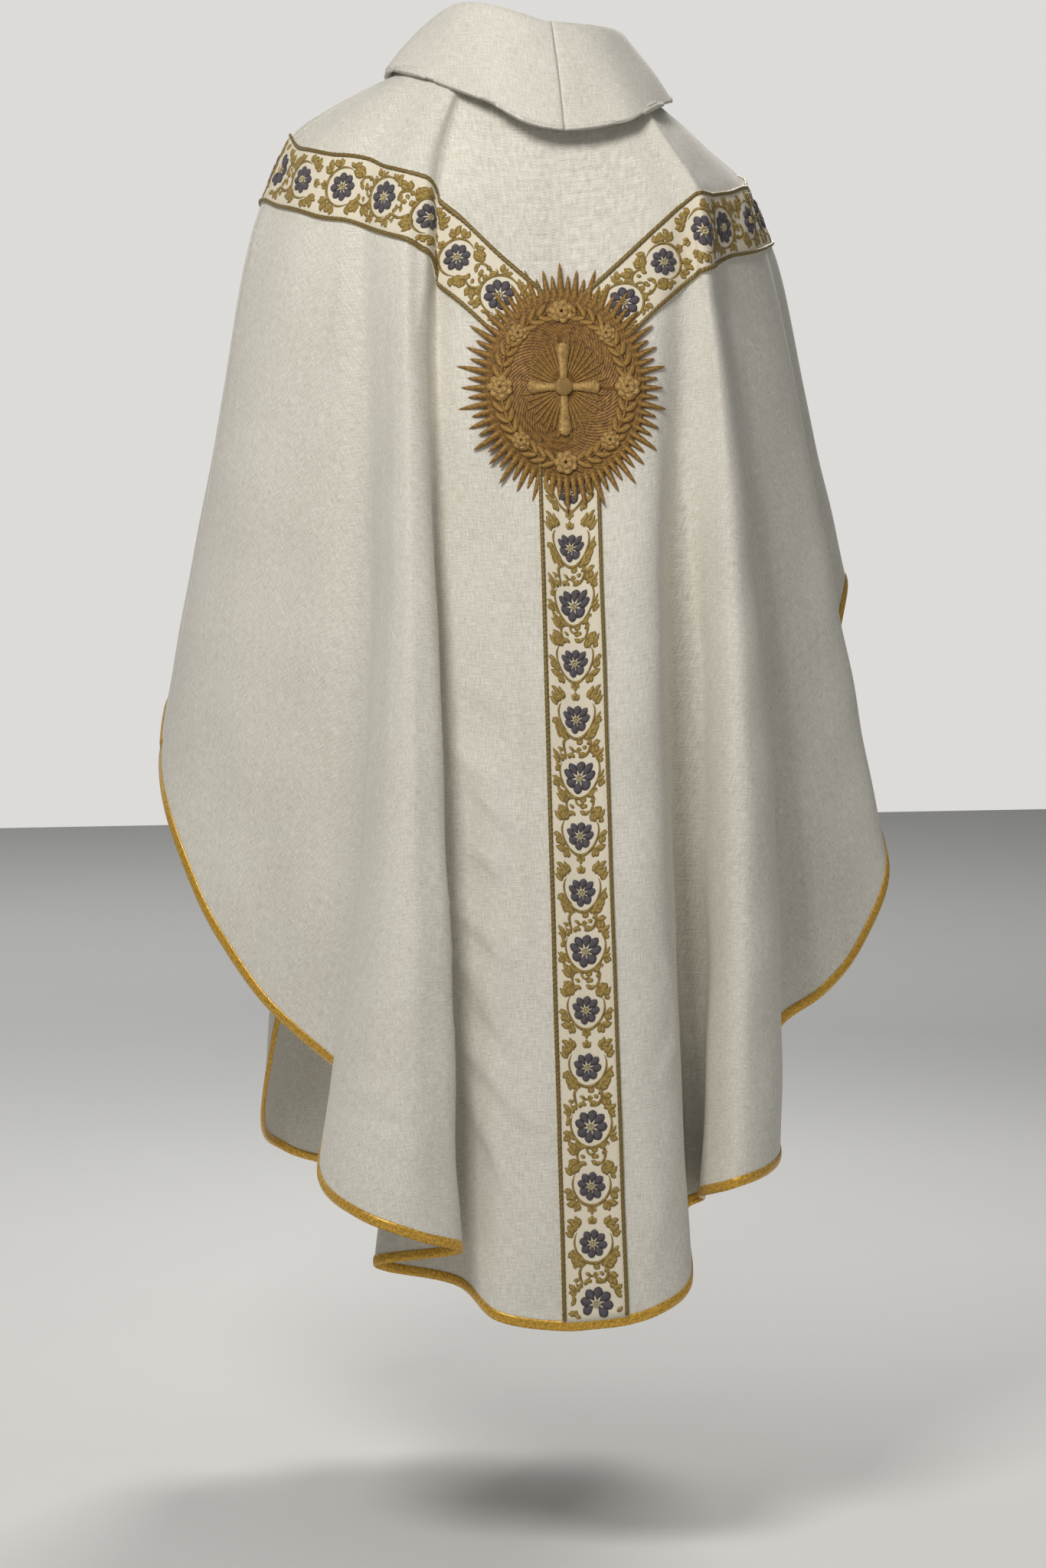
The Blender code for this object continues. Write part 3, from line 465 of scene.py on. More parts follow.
def repeat_gold():
    """One repeat of the scrolling leaves, a along and b across the band in millimetres."""
    bm = bmesh.new()
    thick = 1.75
    for a, b, side in FLOWERS:
        ring = 19.0 if abs(a - 86) > 20 else 20.5
        start, end = (200, 560) if side > 0 else (160, -200)
        strand(bm, arc((a, b), ring, start + side * 40, end - side * 75, 30), thick, 1.1, 30, 6)
    strand(bm, np.concatenate([arc((57, -4), 9.5, 190, 330, 9), arc((63, 2.5), 6.0, -60, -330, 18, 0.75)]), thick, 1.1, 24, 6)
    strand(bm, np.concatenate([arc((57, 5), 9.5, 170, 60, 8), arc((66, 16.5), 4.6, 200, 520, 16, 0.75)]), thick, 1.1, 22, 6)
    strand(bm, np.concatenate([arc((115, 4), 9.5, 10, 150, 9), arc((109, -2.5), 6.0, 120, -150, 18, 0.75)]), thick, 1.1, 24, 6)
    strand(bm, np.concatenate([arc((115, -5), 9.5, -10, -120, 8), arc((106, -16.5), 4.6, 20, 340, 16, 0.75)]), thick, 1.1, 22, 6)
    for a, b, angle, length, bend, size in FRONDS:
        frond(bm, (a, b), angle, length, bend, size)
    for a, b, side in FLOWERS:
        for k in range(22):
            turn = 360.0 / 22 * k + 6 * (k % 3)
            c, s = math.cos(math.radians(turn)), math.sin(math.radians(turn))
            for reach, length, wide in ((20.6, 7.6, 2.5), (27.5, 6.2, 2.2)):
                if reach > 25 and k % 2:
                    continue
                at = (a + c * reach, b + s * reach)
                tip = (at[0] + c * length, at[1] + s * length)
                if abs(tip[1]) < 27.5 and LEAF_START < tip[0] < LEAF_END and LEAF_START < at[0] < LEAF_END:
                    leaf(bm, at, turn + (48 if k % 2 else -40), length, wide, 50 if k % 2 else -50)
    return bm


LEAF_START, LEAF_END = 5.0, 167.0      # the leaves keep clear of the next repeat
FLOWERS = [(28.0, 0.0, 1), (86.0, -1.5, -1), (144.0, 0.0, 1)]     # centre of each flower and the way its ring winds
FRONDS = [   # start a, start b, direction, stem length, bend, size
    (12.0, -14.0, 200, 5, 60, 1.0), (12.0, 14.0, 160, 5, -60, 1.0), (9.0, 0.0, 180, 2.0, 0, 0.8),
    (20.0, 19.0, 100, 3.0, 50, 0.9), (20.0, -19.0, 260, 3.0, -50, 0.9),
    (38.0, 17.5, 50, 4.0, -40, 0.95), (38.0, -17.5, 310, 4.0, 40, 0.95),
    (50.0, -11.0, 250, 6.0, -50, 1.05), (48.0, 11.0, 110, 5.0, 55, 1.0),
    (60.0, -13.0, 285, 5.0, 40, 1.0), (74.0, 18.0, 75, 3.0, 60, 0.85), (98.0, 19.0, 105, 3.0, -60, 0.85),
    (74.0, -19.0, 285, 2.5, -50, 0.8), (100.0, -19.5, 255, 2.5, 50, 0.8),
    (112.0, 13.0, 105, 5.0, 40, 1.0), (122.0, 11.0, 70, 6.0, -50, 1.05), (124.0, -11.0, 290, 5.0, 55, 1.0),
    (134.0, 17.5, 130, 4.0, 40, 0.95), (134.0, -17.5, 230, 4.0, -40, 0.95),
    (152.0, 19.0, 80, 3.0, -50, 0.9), (152.0, -19.0, 280, 3.0, 50, 0.9),
    (160.0, -14.0, 340, 5, -60, 1.0), (160.0, 14.0, 20, 5, 60, 1.0), (163.0, 0.0, 0, 2.0, 0, 0.8)]


def repeat_flowers():
    """Eight petals round each flower centre."""
    bm = bmesh.new()
    for a, b, side in FLOWERS:
        reach = 16.6 if abs(a - 86) < 20 else 14.4
        for k in range(8):
            turn = math.radians(45 * k + 10)
            c, s = math.cos(turn), math.sin(turn)
            path = [(a + c * reach * q, b + s * reach * q) for q in (0.20, 1.0)]
            strand(bm, path, lambda t, r=reach: r * 0.285 * math.sin(math.pi * t ** 1.5) ** 0.7 + 0.02, 1.9, 9, 8)
    return bm


def repeat_knots():
    """Knotted centres of the flowers."""
    bm = bmesh.new()
    for a, b, side in FLOWERS:
        for k in range(9):
            turn, reach = math.radians(45 * k), 0.0 if k == 8 else 2.7
            c = (a + reach * math.cos(turn), b + reach * math.sin(turn))
            strand(bm, [(c[0] - 1.05, c[1]), (c[0] + 1.05, c[1])], 1.05, 1.7, 5, 6, lift=1.2, power=0.5)
    return bm


# The two panels

def panel(first, last, steps, fall_rows):
    """Fine grid of one panel and its outward directions."""
    lines, shares = fine_columns(first, last, steps)
    levels = [(0, s) for s in np.linspace(0, 1, 29)[:-1]] + [(1, s) for s in np.linspace(0, 1, 15)[:-1]]
    levels += [(2, s) for s in np.linspace(0, 1, fall_rows)]
    grid = np.array([between(np.array([line_point(row, stage, s) for row in HANG]), lines, shares) for stage, s in levels])
    soft = np.clip(1 - np.abs(np.arange(len(levels)) - 35) / 22.0, 0, 1)[1:-1, None, None]
    for _ in range(10):
        grid[1:-1] += (0.25 * grid[:-2] - 0.5 * grid[1:-1] + 0.25 * grid[2:]) * np.minimum(soft * 2, 1)
    out = facing(grid)
    place = {"lines": lines, "shares": shares, "upper": 28, "lower": 42, "last": len(levels) - 1}
    return {"grid": grid, "out": out, **place}


def column(cloth, name):
    return int(np.where((cloth["lines"] == NAMES.index(name)) & (cloth["shares"] == 0.0))[0][0])


CAMERA_AT, CAMERA_AIM = np.array([1.012, 4.385, -0.450]), np.array([0.006, -0.001, -0.770])
LENS = 96.709             # millimetres, for 36 mm along the picture's height


def on_picture(points):
    """Where points fall on the 1366 by 2048 picture."""
    ahead = CAMERA_AIM - CAMERA_AT
    ahead = ahead / np.linalg.norm(ahead)
    right = np.cross(ahead, [0, 0, 1.0])
    right /= np.linalg.norm(right)
    up = np.cross(right, ahead)
    q = points - CAMERA_AT
    scale = LENS / 36.0 * 2048 / (q @ ahead)
    return 683 + (q @ right) * scale, 1024 - (q @ up) * scale


def crease_height(x, y, path, sharp, soft, high):
    """Ridge along a path on the picture: steep on its left side, long on its right, fading at both ends."""
    best = np.full(x.shape, 1e9)
    side = np.zeros(x.shape)
    along = np.zeros(x.shape)
    path = np.array(path, float)
    run = cumulative(path)
    for k in range(len(path) - 1):
        d = path[k + 1] - path[k]
        size = np.linalg.norm(d)
        t = np.clip(((x - path[k][0]) * d[0] + (y - path[k][1]) * d[1]) / size ** 2, 0, 1)
        off = np.hypot(x - path[k][0] - t * d[0], y - path[k][1] - t * d[1])
        turn = (d[0] * (y - path[k][1]) - d[1] * (x - path[k][0])) / size
        near = off < best
        best, side = np.where(near, off, best), np.where(near, turn, side)
        along = np.where(near, (run[k] + t * size) / run[-1], along)
    fade = np.clip(np.sin(np.pi * np.clip(along, 0.0, 1.0)), 0, 1) ** 0.7
    width = np.where(side > 0, sharp, soft)
    return high * fade * np.exp(-(best / width) ** 2)


def settle(cloth, creases, turned):
    """Moves the cloth along its outward direction: broad unevenness and the creases of one side."""
    grid, out = cloth["grid"], cloth["out"]
    x, z = grid[..., 0], grid[..., 2]
    girth = np.arctan2(grid[..., 0], grid[..., 1])
    drop = np.clip((-0.30 - z) / 0.25, 0, 1)
    lift = 0.0011 * np.sin(x * 61 + z * 17 + 0.7) * np.sin(z * 23 + x * 9 + 1.9)
    lift += 0.0009 * np.sin(x * 37 - z * 31 + 2.1) * np.sin(girth * 5 + z * 12)
    lift += 0.0012 * np.sin(z * 11 + girth * 9 + 0.4) * np.sin(z * 7 - x * 21)
    lift *= drop
    seen = grid * np.array([-1, -1, 1]) if turned else grid
    px, py = on_picture(seen)
    front = (out * np.array([-1, -1, 1]) if turned else out)
    lit = np.clip(np.sum(front * (CAMERA_AT - seen), axis=2) / 4.0 / 0.25, 0, 1)
    for path, sharp, soft, high in creases:
        lift += crease_height(px, py, path, sharp, soft, high) * lit
    seam = np.minimum(np.arange(grid.shape[1]), np.arange(grid.shape[1])[::-1])
    run = cumulative(grid, axis=1)
    edge = np.minimum(run, run[:, -1:] - run)
    lift = lift * np.clip(edge / 0.03, 0, 1) - 0.0009 * np.exp(-(edge / 0.0035) ** 2)
    cloth["grid"] = grid + out * lift[..., None]
    cloth["out"] = facing(cloth["grid"])


def cut_flat(cloth, middle):
    """Flat cut of a panel: each column is a radius, the hem's length gives its angle."""
    grid = cloth["grid"]
    deep = cumulative(grid, axis=0) + NECK_FLAT
    hem = cumulative(grid[-1])
    turn = np.concatenate([[0], np.cumsum(np.diff(hem) / (0.5 * (deep[-1, 1:] + deep[-1, :-1])))])
    turn = turn - turn[middle]
    cloth["flat"] = np.stack([deep * np.sin(turn), -deep * np.cos(turn)], axis=2)
    cloth["turn"] = turn
    rim = cloth["flat"][-1]
    neck = cloth["flat"][0]
    ring = np.concatenate([rim, neck[::-1]])
    cloth["area"] = 0.5 * abs(np.sum(ring[:, 0] * np.roll(ring[:, 1], -1) - np.roll(ring[:, 0], -1) * ring[:, 1]))


# Path on the picture, width of its steep side and of its long side in pixels, height in metres
BACK_CREASES = [
    ([(640, 560), (656, 760), (668, 1000), (676, 1250), (676, 1480), (664, 1680)], 54, 26, -0.0150),
    ([(545, 420), (556, 700), (566, 900), (574, 1100), (582, 1300), (592, 1600)], 12, 46, 0.0058),
    ([(462, 400), (458, 700), (444, 1000), (432, 1260)], 30, 26, -0.0075),
    ([(925, 520), (945, 760), (958, 1000), (962, 1300), (958, 1500)], 28, 24, 0.0070),
    ([(884, 500), (890, 800), (896, 1100), (902, 1440)], 26, 24, -0.0085),
    ([(556, 205), (555, 300), (548, 440)], 5, 30, 0.0046),
    ([(913, 225), (915, 300), (922, 390)], 5, 30, 0.0046),
    ([(964, 215), (967, 260), (972, 320)], 5, 14, 0.0030),
    ([(600, 1010), (640, 1060), (690, 1096)], 7, 24, 0.0036),
    ([(612, 1290), (650, 1350), (690, 1392)], 7, 24, 0.0042),
    ([(578, 968), (612, 1004), (650, 1036)], 7, 26, 0.0039),
    ([(606, 1104), (632, 1128), (652, 1156)], 6, 20, 0.0036),
    ([(578, 1168), (628, 1222), (672, 1274)], 7, 28, 0.0042),
    ([(580, 1234), (618, 1280), (652, 1330)], 7, 24, 0.0030),
    ([(586, 1340), (628, 1396), (668, 1450), (716, 1490)], 7, 28, 0.0045),
    ([(600, 1408), (636, 1490), (674, 1590)], 8, 26, 0.0039),
    ([(590, 880), (628, 912), (664, 930)], 8, 24, 0.0021),
    ([(452, 1420), (492, 1440), (550, 1468)], 7, 18, 0.0033),
    ([(470, 1480), (520, 1500), (566, 1512)], 8, 20, 0.0021),
    ([(866, 1246), (884, 1300), (888, 1350), (858, 1426)], 8, 20, 0.0036),
    ([(838, 1500), (862, 1560), (858, 1640)], 9, 20, 0.0024),
    ([(826, 1120), (852, 1180), (866, 1240)], 9, 22, 0.0021),
    ([(870, 140), (892, 196), (914, 254)], 6, 14, 0.0022),
    ([(884, 148), (906, 200), (930, 240)], 6, 14, 0.0018),
    ([(455, 285), (452, 340), (446, 420), (440, 520)], 14, 22, 0.0034),
    ([(560, 190), (572, 240), (590, 300)], 14, 26, 0.0020),
    ([(500, 130), (470, 170), (440, 205)], 14, 24, 0.0022),
    ([(330, 560), (312, 700), (300, 860), (300, 980)], 26, 44, 0.0030),
    ([(388, 640), (372, 800), (368, 980), (384, 1160)], 22, 36, 0.0024),
    ([(1052, 560), (1076, 740), (1090, 920), (1080, 1080)], 22, 36, 0.0024),
]
FRONT_CREASES = [
    ([(560, 700), (600, 790), (650, 850)], 9, 28, 0.0026),
    ([(590, 980), (640, 1060), (690, 1110)], 9, 28, 0.0028),
    ([(800, 860), (770, 960), (720, 1020)], 9, 26, 0.0024),
    ([(840, 1240), (800, 1330), (760, 1390)], 9, 26, 0.0024),
    ([(560, 1300), (600, 1400), (660, 1470)], 9, 30, 0.0026),
    ([(420, 640), (400, 760), (392, 900)], 20, 36, 0.0030),
    ([(330, 560), (312, 700), (300, 860)], 22, 40, 0.0028),
    ([(960, 600), (985, 760), (1000, 940)], 20, 36, 0.0030),
    ([(1052, 560), (1076, 740), (1090, 900)], 22, 36, 0.0024),
    ([(470, 260), (455, 330), (440, 430)], 12, 22, 0.0030),
    ([(905, 270), (915, 350), (922, 450)], 12, 22, 0.0030),
]

back = panel("seam_r", "seam_l", {"start": 0.012, "right_9": 0.008, "right_3": 0.0052, "left_3": 0.0075, "left_9": 0.012}, 126)
front = panel("seam_l", "seam_r", {"start": 0.010}, 104)
settle(back, BACK_CREASES, False)
settle(front, FRONT_CREASES, True)
cut_flat(back, column(back, "back_0"))
cut_flat(front, column(front, "front_0"))
back_panel = piece("back_linen", laid_sheet(back["grid"], back["flat"], back["out"]), linen, "back_panel", (CLOTH, -1.0))
front_panel = piece("front_linen", laid_sheet(front["grid"], front["flat"], front["out"]), linen, "front_panel", (CLOTH, -1.0))


# Hem binding

def hem_binding(name, cloth, node):
    """Satin folded round the raw hem: a puffed outer leg, a round lower edge and an inner leg."""
    grid, out = cloth["grid"], cloth["out"]
    low, face = grid[-1], out[-1]
    along = np.gradient(low, axis=0)
    along /= np.linalg.norm(along, axis=1, keepdims=True)
    rise = cumulative(grid[::-1], axis=0)
    square = np.linalg.norm(np.cross((grid[-2] - low) / np.maximum(np.linalg.norm(grid[-2] - low, axis=1, keepdims=True), 1e-9), along), axis=1)
    down = np.cross(along, face)
    down *= np.sign(np.sum(down * (low - grid[-2]), axis=1, keepdims=True))

    def above(deep):
        want = deep / np.maximum(square, 0.4)
        p, n = np.zeros_like(low), np.zeros_like(low)
        for j in range(len(low)):
            for k in range(3):
                p[j, k] = np.interp(want[j], rise[:6, j], grid[::-1][:6, j, k])
                n[j, k] = np.interp(want[j], rise[:6, j], out[::-1][:6, j, k])
        return p, n
    section = [(9.0, 0.35), (8.8, 0.85), (7.4, 1.25), (5.0, 1.45), (2.6, 1.35), (0.8, 1.05)]
    legs = []
    for deep, off in section:
        p, n = above(deep * BINDING_DEEP / 0.009 * 0.001)
        legs.append(p + n * off * 0.001)
    legs.append(low - face * 0.0002 + down * 0.0011)
    legs.append(low - face * (CLOTH - 0.0002) + down * 0.0011)
    for deep, off in section[::-1]:
        p, n = above(deep * BINDING_DEEP / 0.009 * 0.001)
        legs.append(p - n * (CLOTH + off * 0.001))
    legs = np.array(legs)
    length = cumulative(low)
    girth = cumulative(legs, axis=0)
    flat = np.stack([np.broadcast_to(length, girth.shape), girth], axis=2)
    outer = legs - (grid[-1] - face * CLOTH * 0.5 - down * 0.004)
    return piece(name, laid_sheet(legs, flat, outer), binding_satin, node, (BINDING * 0.7, -1.0))


back_binding = hem_binding("back_hem_satin", back, "back_hem_binding")
front_binding = hem_binding("front_hem_satin", front, "front_hem_binding")


# Bands

def field(cloth, rows, cols, stem):
    """Places on the cloth under a band: first axis along it, second across it.
    slant is how far its far edge runs ahead, so that drawn shapes stay square to the band."""
    points = cloth["grid"][rows[0]:rows[1] + 1, cols[0]:cols[1] + 1]
    out = cloth["out"][rows[0]:rows[1] + 1, cols[0]:cols[1] + 1]
    if not stem:
        points, out = points.transpose(1, 0, 2), out.transpose(1, 0, 2)
    middle = points[:, points.shape[1] // 2]
    run = cumulative(middle)
    even = np.linspace(0, run[-1], 60)
    track = np.stack([np.interp(even, run, middle[:, k]) for k in range(3)], axis=1)
    wide = np.stack([np.interp(even, run, (points[:, -1] - points[:, 0])[:, k]) for k in range(3)], axis=1)
    for _ in range(6):
        track[1:-1] = 0.25 * track[:-2] + 0.5 * track[1:-1] + 0.25 * track[2:]
    way = np.gradient(track, axis=0)
    way /= np.linalg.norm(way, axis=1, keepdims=True)
    ahead = np.sum(wide * way, axis=1)
    half = np.linalg.norm(wide - way * ahead[:, None], axis=1) / 2
    for _ in range(10):
        ahead[1:-1] = 0.25 * ahead[:-2] + 0.5 * ahead[1:-1] + 0.25 * ahead[2:]
    return {"points": points, "out": out, "run": run, "even": even, "slant": ahead / 2, "half": half}


def lay(band, a, b, h):
    """Places on a band: a along its middle in metres, b across from -1 to 1, h above the cloth."""
    points, out = band["points"], band["out"]
    n, m = points.shape[:2]
    a = a - b * np.interp(a, band["even"], band["slant"])
    x = np.clip(np.interp(a, band["run"], np.arange(n)), 0, n - 1.0001)
    y = np.clip((b + 1) / 2 * (m - 1), 0, m - 1.0001)
    i, j = x.astype(int), y.astype(int)
    u, v = (x - i)[:, None], (y - j)[:, None]

    def mix(q):
        return (q[i, j] * (1 - u) + q[i + 1, j] * u) * (1 - v) + (q[i, j + 1] * (1 - u) + q[i + 1, j + 1] * u) * v
    away = mix(out)
    away /= np.linalg.norm(away, axis=1, keepdims=True)
    return mix(points) + away * h[:, None]


def embroider(name, band, stamp, starts, finish, node, stretch):
    """Copies of one drawn repeat laid along a band."""
    bm = bmesh.new()
    one = bpy.data.meshes.new("repeat")
    stamp.to_mesh(one)
    count = len(one.vertices)
    for _ in starts:
        bm.from_mesh(one)
    mesh = bpy.data.meshes.new(name)
    bm.to_mesh(mesh)
    bm.free()
    flat = np.zeros(len(mesh.vertices) * 3)
    mesh.vertices.foreach_get("co", flat)
    flat = flat.reshape(-1, 3)
    begin = np.repeat(np.array([s for s, way in starts]), count)
    way = np.repeat(np.array([w for s, w in starts]), count)
    a = begin + way * flat[:, 0] * 0.001 * stretch
    b = way * flat[:, 1] / (HALF_BAND * 1000)
    true = a - b * np.interp(a, band["even"], band["slant"])
    keep = (true > 0.002) & (true < band["run"][-1] - 0.002)
    placed = lay(band, a, b, BAND_LIFT + BAND + flat[:, 2] * 0.001)
    mesh.vertices.foreach_set("co", placed.ravel())
    mesh.update()
    cut = bmesh.new()
    cut.from_mesh(mesh)
    cut.verts.ensure_lookup_table()
    lost = set()
    for island in islands(cut):
        if not all(keep[v.index] for v in island):
            lost.update(island)
    bmesh.ops.delete(cut, geom=list(lost), context='VERTS')
    bmesh.ops.recalc_face_normals(cut, faces=cut.faces)
    cut.to_mesh(mesh)
    cut.free()
    bpy.data.meshes.remove(one)
    return piece(name, mesh, finish, node)


def islands(bm):
    """Groups of joined corners."""
    seen = set()
    for v in bm.verts:
        if v in seen:
            continue
        group, edge = [], [v]
        seen.add(v)
        while edge:
            here = edge.pop()
            group.append(here)
            for link in here.link_edges:
                other = link.other_vert(here)
                if other not in seen:
                    seen.add(other)
                    edge.append(other)
        yield group


def edge_cord(name, band, stretches, finish, node):
    """Twisted cords: each runs from one length to another at one place across the band."""
    bm = bmesh.new()
    layer = bm.verts.layers.float_vector.new("stitch")
    for b, start, end in stretches:
        lead = b * np.interp([start, end], band["even"], band["slant"])
        start, end = start + lead[0], end + lead[1]
        rings = max(8, int((end - start) / 0.0017))
        for v in bmesh.ops.create_uvsphere(bm, u_segments=8, v_segments=rings, radius=1.0)["verts"]:
            share = math.acos(max(-1.0, min(1.0, v.co.z))) / math.pi
            around = math.atan2(v.co.y, v.co.x)
            a = start + (end - start) * share
            ends = min(1.0, (max(share, 0) * (end - start) / 0.002) ** 0.5, (max(1 - share, 0) * (end - start) / 0.002) ** 0.5)
            girth = CORD * (0.78 + 0.22 * abs(math.cos(around - a * math.pi / TWIST))) * ends
            half = np.interp(a, band["even"], band["half"])
            v.co = (a, b + girth * math.cos(around) / half, CORD * 0.7 + girth * 0.8 * math.sin(around))
            v[layer] = (a + TWIST / math.pi * around, 0.0, 0.0)
    mesh = bpy.data.meshes.new(name)
    bm.to_mesh(mesh)
    bm.free()
    flat = np.zeros(len(mesh.vertices) * 3)
    mesh.vertices.foreach_get("co", flat)
    flat = flat.reshape(-1, 3)
    mesh.vertices.foreach_set("co", lay(band, flat[:, 0], flat[:, 1], BAND_LIFT + BAND * 0.6 + flat[:, 2]).ravel())
    mesh.update()
    fix = bmesh.new()
    fix.from_mesh(mesh)
    bmesh.ops.recalc_face_normals(fix, faces=fix.faces)
    fix.to_mesh(mesh)
    fix.free()
    return piece(name, mesh, finish, node)


def ground(name, band, node):
    """Woven ground of a band, lying on the linen."""
    points, out = band["points"], band["out"]
    width = cumulative(points, axis=1)
    edge = np.minimum(width, width[:, -1:] - width)
    lift = BAND_LIFT - 0.0003 * np.exp(-(edge / 0.001) ** 2)
    flat = np.stack([width - width[:, -1:] / 2, np.broadcast_to(band["run"][:, None], width.shape)], axis=2)
    return piece(name, laid_sheet(points + out * lift[..., None], flat, out), woven, node, (BAND, 1.0))


GOLD, PETALS, KNOTS = repeat_gold(), repeat_flowers(), repeat_knots()


def band(label, cloth, rows, cols, stem, starts, cords, stretch=1.0):
    """One band with its ground, leaves, flowers and edge cords."""
    place = field(cloth, rows, cols, stem)
    node = label
    made = [ground(label + "_ground", place, node),
            embroider(label + "_leaves", place, GOLD, starts, leaf_gold, node, stretch),
            embroider(label + "_petals", place, PETALS, starts, violet, node, stretch),
            embroider(label + "_knots", place, KNOTS, starts, pale_bead, node, stretch),
            edge_cord(label + "_cords", place, [(b, s, place["run"][-1] + e) for b, s, e in cords], cord_gold, node)]
    return made, place


def lengths(cloth, rows, cols):
    middle = cloth["grid"][(rows[0] + rows[1]) // 2, cols[0]:cols[1] + 1]
    return cumulative(middle)[-1]


up, lo = back["upper"], back["lower"]
mid_back, end_back = column(back, "back_0"), back["grid"].shape[1] - 1
mid_front, end_front = column(front, "front_0"), front["grid"].shape[1] - 1
right_arm, left_arm = lengths(back, (up, lo), (0, mid_back)), lengths(back, (up, lo), (mid_back, end_back))
STEM_FIRST = 0.1225           # where the first whole repeat of the back stem starts
stretch = UNIT / UNIT_DRAWN
pitch = UNIT + 0.0


def repeats(first, total, way=1):
    """Starts of the repeats along a band."""
    return [(first + way * UNIT * k, way) for k in range(-4, 12) if -UNIT < first + way * UNIT * k < total + UNIT]


bands = {}
bands["back_band_right"] = band("back_band_right", back, (up, lo), (0, mid_back), False, repeats(right_arm + 0.006, right_arm, -1), [(-0.93, 0.0, 0.0), (0.93, 0.0, -0.034)], stretch)
bands["back_band_left"] = band("back_band_left", back, (up, lo), (mid_back, end_back), False, repeats(0.004, left_arm), [(-0.93, 0.0, 0.0), (0.93, 0.034, 0.0)], stretch)
bands["back_band_stem"] = band("back_band_stem", back, (lo, back["last"] - 1), (column(back, "right_1"), column(back, "left_1")), True, repeats(STEM_FIRST, 1.0), [(-0.93, 0.0, 0.0), (0.93, 0.0, 0.0)], stretch)
arm = lengths(front, (up, lo), (0, mid_front))
bands["front_band_left"] = band("front_band_left", front, (up, lo), (0, mid_front), False, repeats(arm - 0.04, arm, -1), [(-0.93, 0.0, 0.0), (0.93, 0.0, -0.036)], stretch)
arm = lengths(front, (up, lo), (mid_front, end_front))
bands["front_band_right"] = band("front_band_right", front, (up, lo), (mid_front, end_front), False, repeats(0.04, arm), [(-0.93, 0.0, 0.0), (0.93, 0.036, 0.0)], stretch)
bands["front_band_stem"] = band("front_band_stem", front, (lo, front["last"] - 1), (column(front, "fore_9"), column(front, "fore_19")), True, repeats(0.01, 1.0), [(-0.93, 0.0, 0.0), (0.93, 0.0, 0.0)], stretch)


# Medallion

MEDALLION_CENTRE = (0.008, -0.352)     # x and z on the back
HALF_WIDE, HALF_HIGH = 0.104, 0.128


def back_surface():
    """Smooth depth of the back cloth round the medallion as a polynomial of x and z."""
    grid = back["grid"].reshape(-1, 3)
    x, z = grid[:, 0] - MEDALLION_CENTRE[0], grid[:, 2] - MEDALLION_CENTRE[1]
    near = (abs(x) < HALF_WIDE * 1.15) & (abs(z) < HALF_HIGH * 1.15)
    x, z, y = x[near], z[near], grid[near, 1]
    powers = [(i, j) for i in range(6) for j in range(6 - i)]
    fit, *_ = np.linalg.lstsq(np.stack([(x / 0.1) ** i * (z / 0.1) ** j for i, j in powers], axis=1), y, rcond=None)
    return lambda u, w: sum(f * (u / 0.1) ** i * (w / 0.1) ** j for f, (i, j) in zip(fit, powers))


DEPTH = back_surface()


def apply_flat(bm, name, finish, base):
    """Lays flat shapes in millimetres (a to the wearer's left, b up, h off the cloth) on the back."""
    mesh = bpy.data.meshes.new(name)
    bmesh.ops.recalc_face_normals(bm, faces=bm.faces)
    bm.to_mesh(mesh)
    bm.free()
    flat = np.zeros(len(mesh.vertices) * 3)
    mesh.vertices.foreach_get("co", flat)
    flat = flat.reshape(-1, 3) * 0.001
    x, z, e = flat[:, 0], flat[:, 1], 0.002
    y = DEPTH(x, z)
    out = np.stack([-(DEPTH(x + e, z) - DEPTH(x - e, z)) / (2 * e), np.ones_like(x), -(DEPTH(x, z + e) - DEPTH(x, z - e)) / (2 * e)], axis=1)
    out /= np.linalg.norm(out, axis=1, keepdims=True)
    place = np.stack([x + MEDALLION_CENTRE[0], y, z + MEDALLION_CENTRE[1]], axis=1) + out * (flat[:, 2:3] + base)
    mesh.vertices.foreach_set("co", place.ravel())
    mesh.flip_normals()
    mesh.update()
    return piece(name, mesh, finish, "back_medallion")


def oval(share, degrees):
    """Flat point at a share of the medallion's size, in millimetres; 0 degrees is up."""
    turn = math.radians(degrees)
    return (HALF_WIDE * 1000 * share * math.sin(turn), HALF_HIGH * 1000 * share * math.cos(turn))


def dome(bm, centre, half_a, half_b, high, rings=12, sides=48, lift=0.0, edge=0.0, turns=0, grow=0.0):
    """Low closed dome; turns and grow give its outline lobes."""
    layer = bm.verts.layers.float_vector.get("stitch") or bm.verts.layers.float_vector.new("stitch")
    for v in bmesh.ops.create_uvsphere(bm, u_segments=sides, v_segments=rings, radius=1.0)["verts"]:
        around, up = math.atan2(v.co.y, v.co.x), v.co.z
        flat = math.hypot(v.co.x, v.co.y) * (1 + grow * math.cos(turns * around))
        a, b = centre[0] + half_a * flat * math.cos(around), centre[1] + half_b * flat * math.sin(around)
        h = lift + edge + high * up if up > 0 else lift + edge * (1 + up)
        v.co = (a, b, h)
        v[layer] = (around * 0.02, flat * half_a * 0.001, 0.0)


def rosette(bm, centre, size, lift):
    """Round flower of two rings of petals."""
    for ring, (count, reach, half) in enumerate(((7, 1.0, 0.40), (6, 0.62, 0.32))):
        for k in range(count):
            turn = 2 * math.pi * (k + 0.5 * ring) / count
            c, s = math.cos(turn), math.sin(turn)
            path = [(centre[0] + c * size * reach * q, centre[1] + s * size * reach * q) for q in (0.12, 1.0)]
            strand(bm, path, lambda t, w=size * half: w * math.sin(math.pi * t ** 1.2) ** 0.5 + 0.02, 1.5 + 0.3 * ring, 8, 8, lift=lift + 1.0 * ring)


